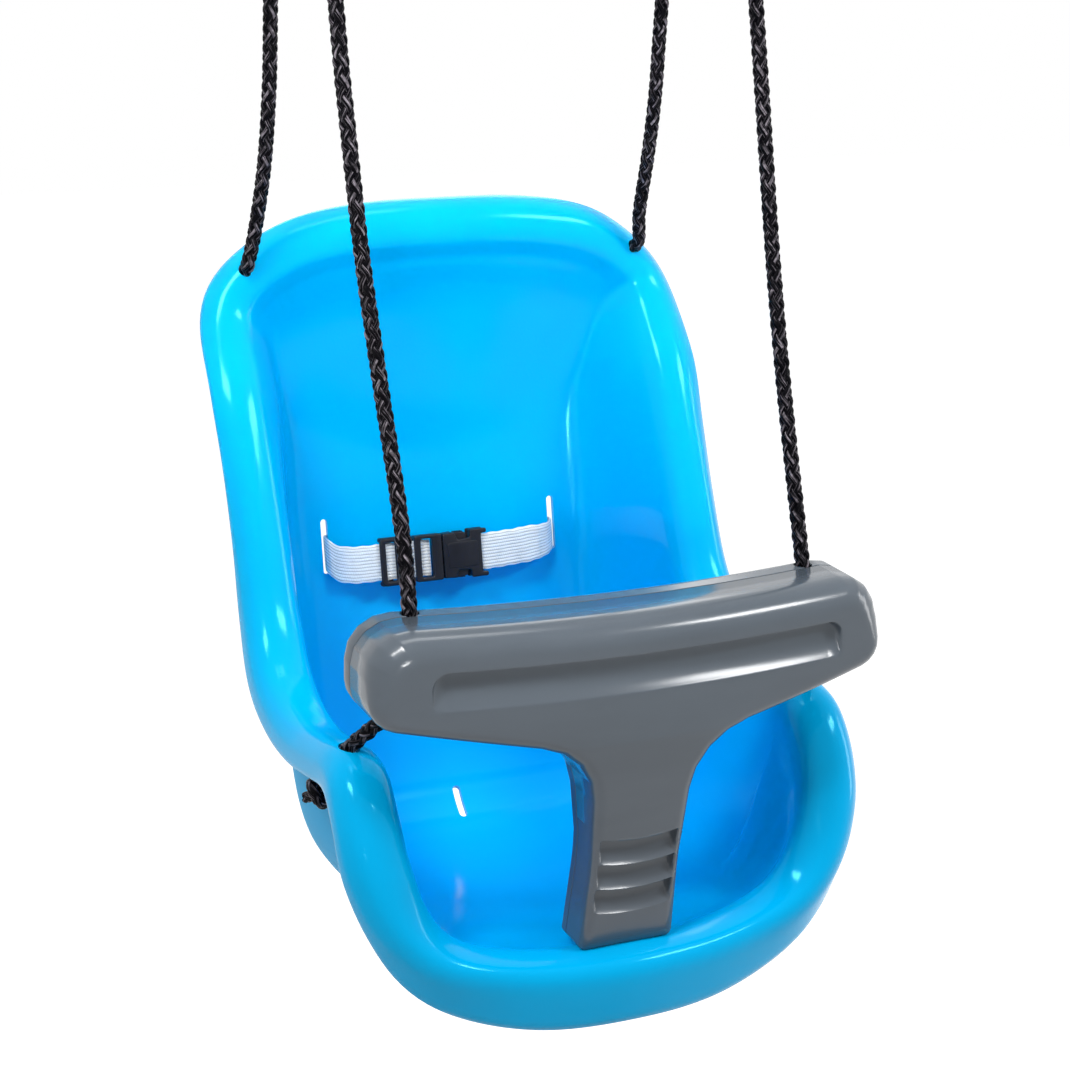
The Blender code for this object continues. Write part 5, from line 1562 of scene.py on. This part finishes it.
# Hanging rings
def build_rings():
    turns, sides = 120, 24
    for label, side in SIDES:
        work = bmesh.new()
        centre = Vector((side * RING_SPACING / 2, 0.0, -RING_RADIUS + RING_WIRE_RADIUS))
        rows = []
        for index in range(turns):
            angle = math.tau * index / turns
            out = Vector((math.cos(angle), 0.0, math.sin(angle)))
            # Weld bead at the lower outer side
            radius = RING_WIRE_RADIUS * (1.0 + 0.16 * math.exp(-((index - 96) / 1.6) ** 2))
            row = []
            for step in range(sides):
                around = math.tau * step / sides
                spot = out * (RING_RADIUS + radius * math.cos(around))
                row.append(work.verts.new(centre + spot + Vector((0, radius * math.sin(around), 0))))
            rows.append(row)
        bridge(work, rows, around=True)
        bmesh.ops.recalc_face_normals(work, faces=work.faces)
        place_piece(
            f"hanging_ring_{label}", mesh_of(work, "ring"), "steel", "rings", [f"ring_{label}"],
            where=Matrix.Identity(4), crease=60.0,
        )


# Stage and lights
def background_share(nodes):
    # 1 for what the camera sees straight, in a reflection or through glass, else 0
    seen = nodes.node("ShaderNodeLightPath", output="Is Camera Ray")
    straight = seen.work("MAXIMUM", seen, seen.also("Is Glossy Ray"))
    return seen.work("MAXIMUM", straight, seen.also("Is Transmission Ray"))


def build_stage():
    white = Finish("floor_white", (0.50, 0.50, 0.50), 0.9, Specular_IOR_Level=0.0)
    dark = white.node("ShaderNodeEmission", {}, {"Strength": 0.0})
    glow = white.node("ShaderNodeEmission", {}, {"Strength": 0.92})
    pick = white.node("ShaderNodeMixShader", {}, {0: background_share(white), 1: dark, 2: glow})
    both = white.node("ShaderNodeAddShader", {}, {0: Field(white, white.shader.outputs[0]), 1: pick})
    white.feed(white.tree.nodes["Material Output"].inputs["Surface"], both)
    work = bmesh.new()
    level = Matrix.Translation((0, 0, FLOOR_LEVEL))
    bmesh.ops.create_grid(work, x_segments=1, y_segments=1, size=12.0, matrix=level)
    floor = link("floor", mesh_of(work, "floor"))
    floor.data.materials.append(white.material)

    world = bpy.data.worlds.new("studio")
    bpy.context.scene.world = world
    world.use_nodes = True
    sky = Nodes(world.node_tree)
    back = sky.tree.nodes["Background"]
    sky.feed(back.inputs["Color"], (1.0, 1.0, 1.0, 1.0))
    inputs = {"Value": background_share(sky), "To Min": 0.28, "To Max": 1.0}
    sky.feed(back.inputs["Strength"], sky.node("ShaderNodeMapRange", {}, inputs))


def soft_light(name, azimuth, elevation, size, power, target=(0.0, 0.0, -0.66), spread=180.0):
    # Lamp at a fixed reach from its target, at degrees to the right of straight in front and above it
    turn, rise = math.radians(azimuth), math.radians(elevation)
    away = Vector((math.sin(turn) * math.cos(rise), -math.cos(turn) * math.cos(rise), math.sin(rise)))
    data = bpy.data.lights.new(name, "AREA")
    data.shape = "RECTANGLE"
    data.size, data.size_y = size
    data.energy = power
    data.spread = math.radians(spread)
    lamp = link(name, data)
    lamp.location = Vector(target) + away * LAMP_REACH
    lamp.rotation_euler = (-away).to_track_quat("-Z", "Y").to_euler()


def build_lights():
    soft_light("key", -52, 46, (0.55, 0.35), 23.0)
    soft_light("overhead", 0, 86, (1.0, 0.5), 7.0)
    soft_light("right", 44, 36, (0.6, 0.3), 16.0)
    soft_light("low_right", 78, 4, (0.4, 1.2), 7.0)
    soft_light("head", -22, 2, (0.5, 0.4), 0.40, (0.0, 0.08, -0.39), 16.0)
    soft_light("behind", 165, 35, (1.2, 1.0), 9.0)


bpy.context.scene.view_settings.view_transform = "Standard"
build_camera()
for name, make in (
    ("shell_blue", glossy_blue), ("bar_grey", satin_grey), ("rope_black", rope_fibre),
    ("webbing_white", woven_white), ("buckle_black", black_moulding), ("steel", plated_steel),
):
    FINISHES[name] = make()
braid = braid_tree()
build_ropes(braid)
build_knots(braid)
build_shell()
build_bar()
build_screws()
belt = belt_place()
build_webbing(belt)
build_slider(belt)
build_buckle(belt)
build_rings()
CARRIED = {"thimble_left": "steel", "thimble_right": "steel"}
for node, finish in CARRIED.items():
    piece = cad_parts[node]
    piece.data.materials.clear()
    piece.data.materials.append(FINISHES[finish])
build_stage()
build_lights()
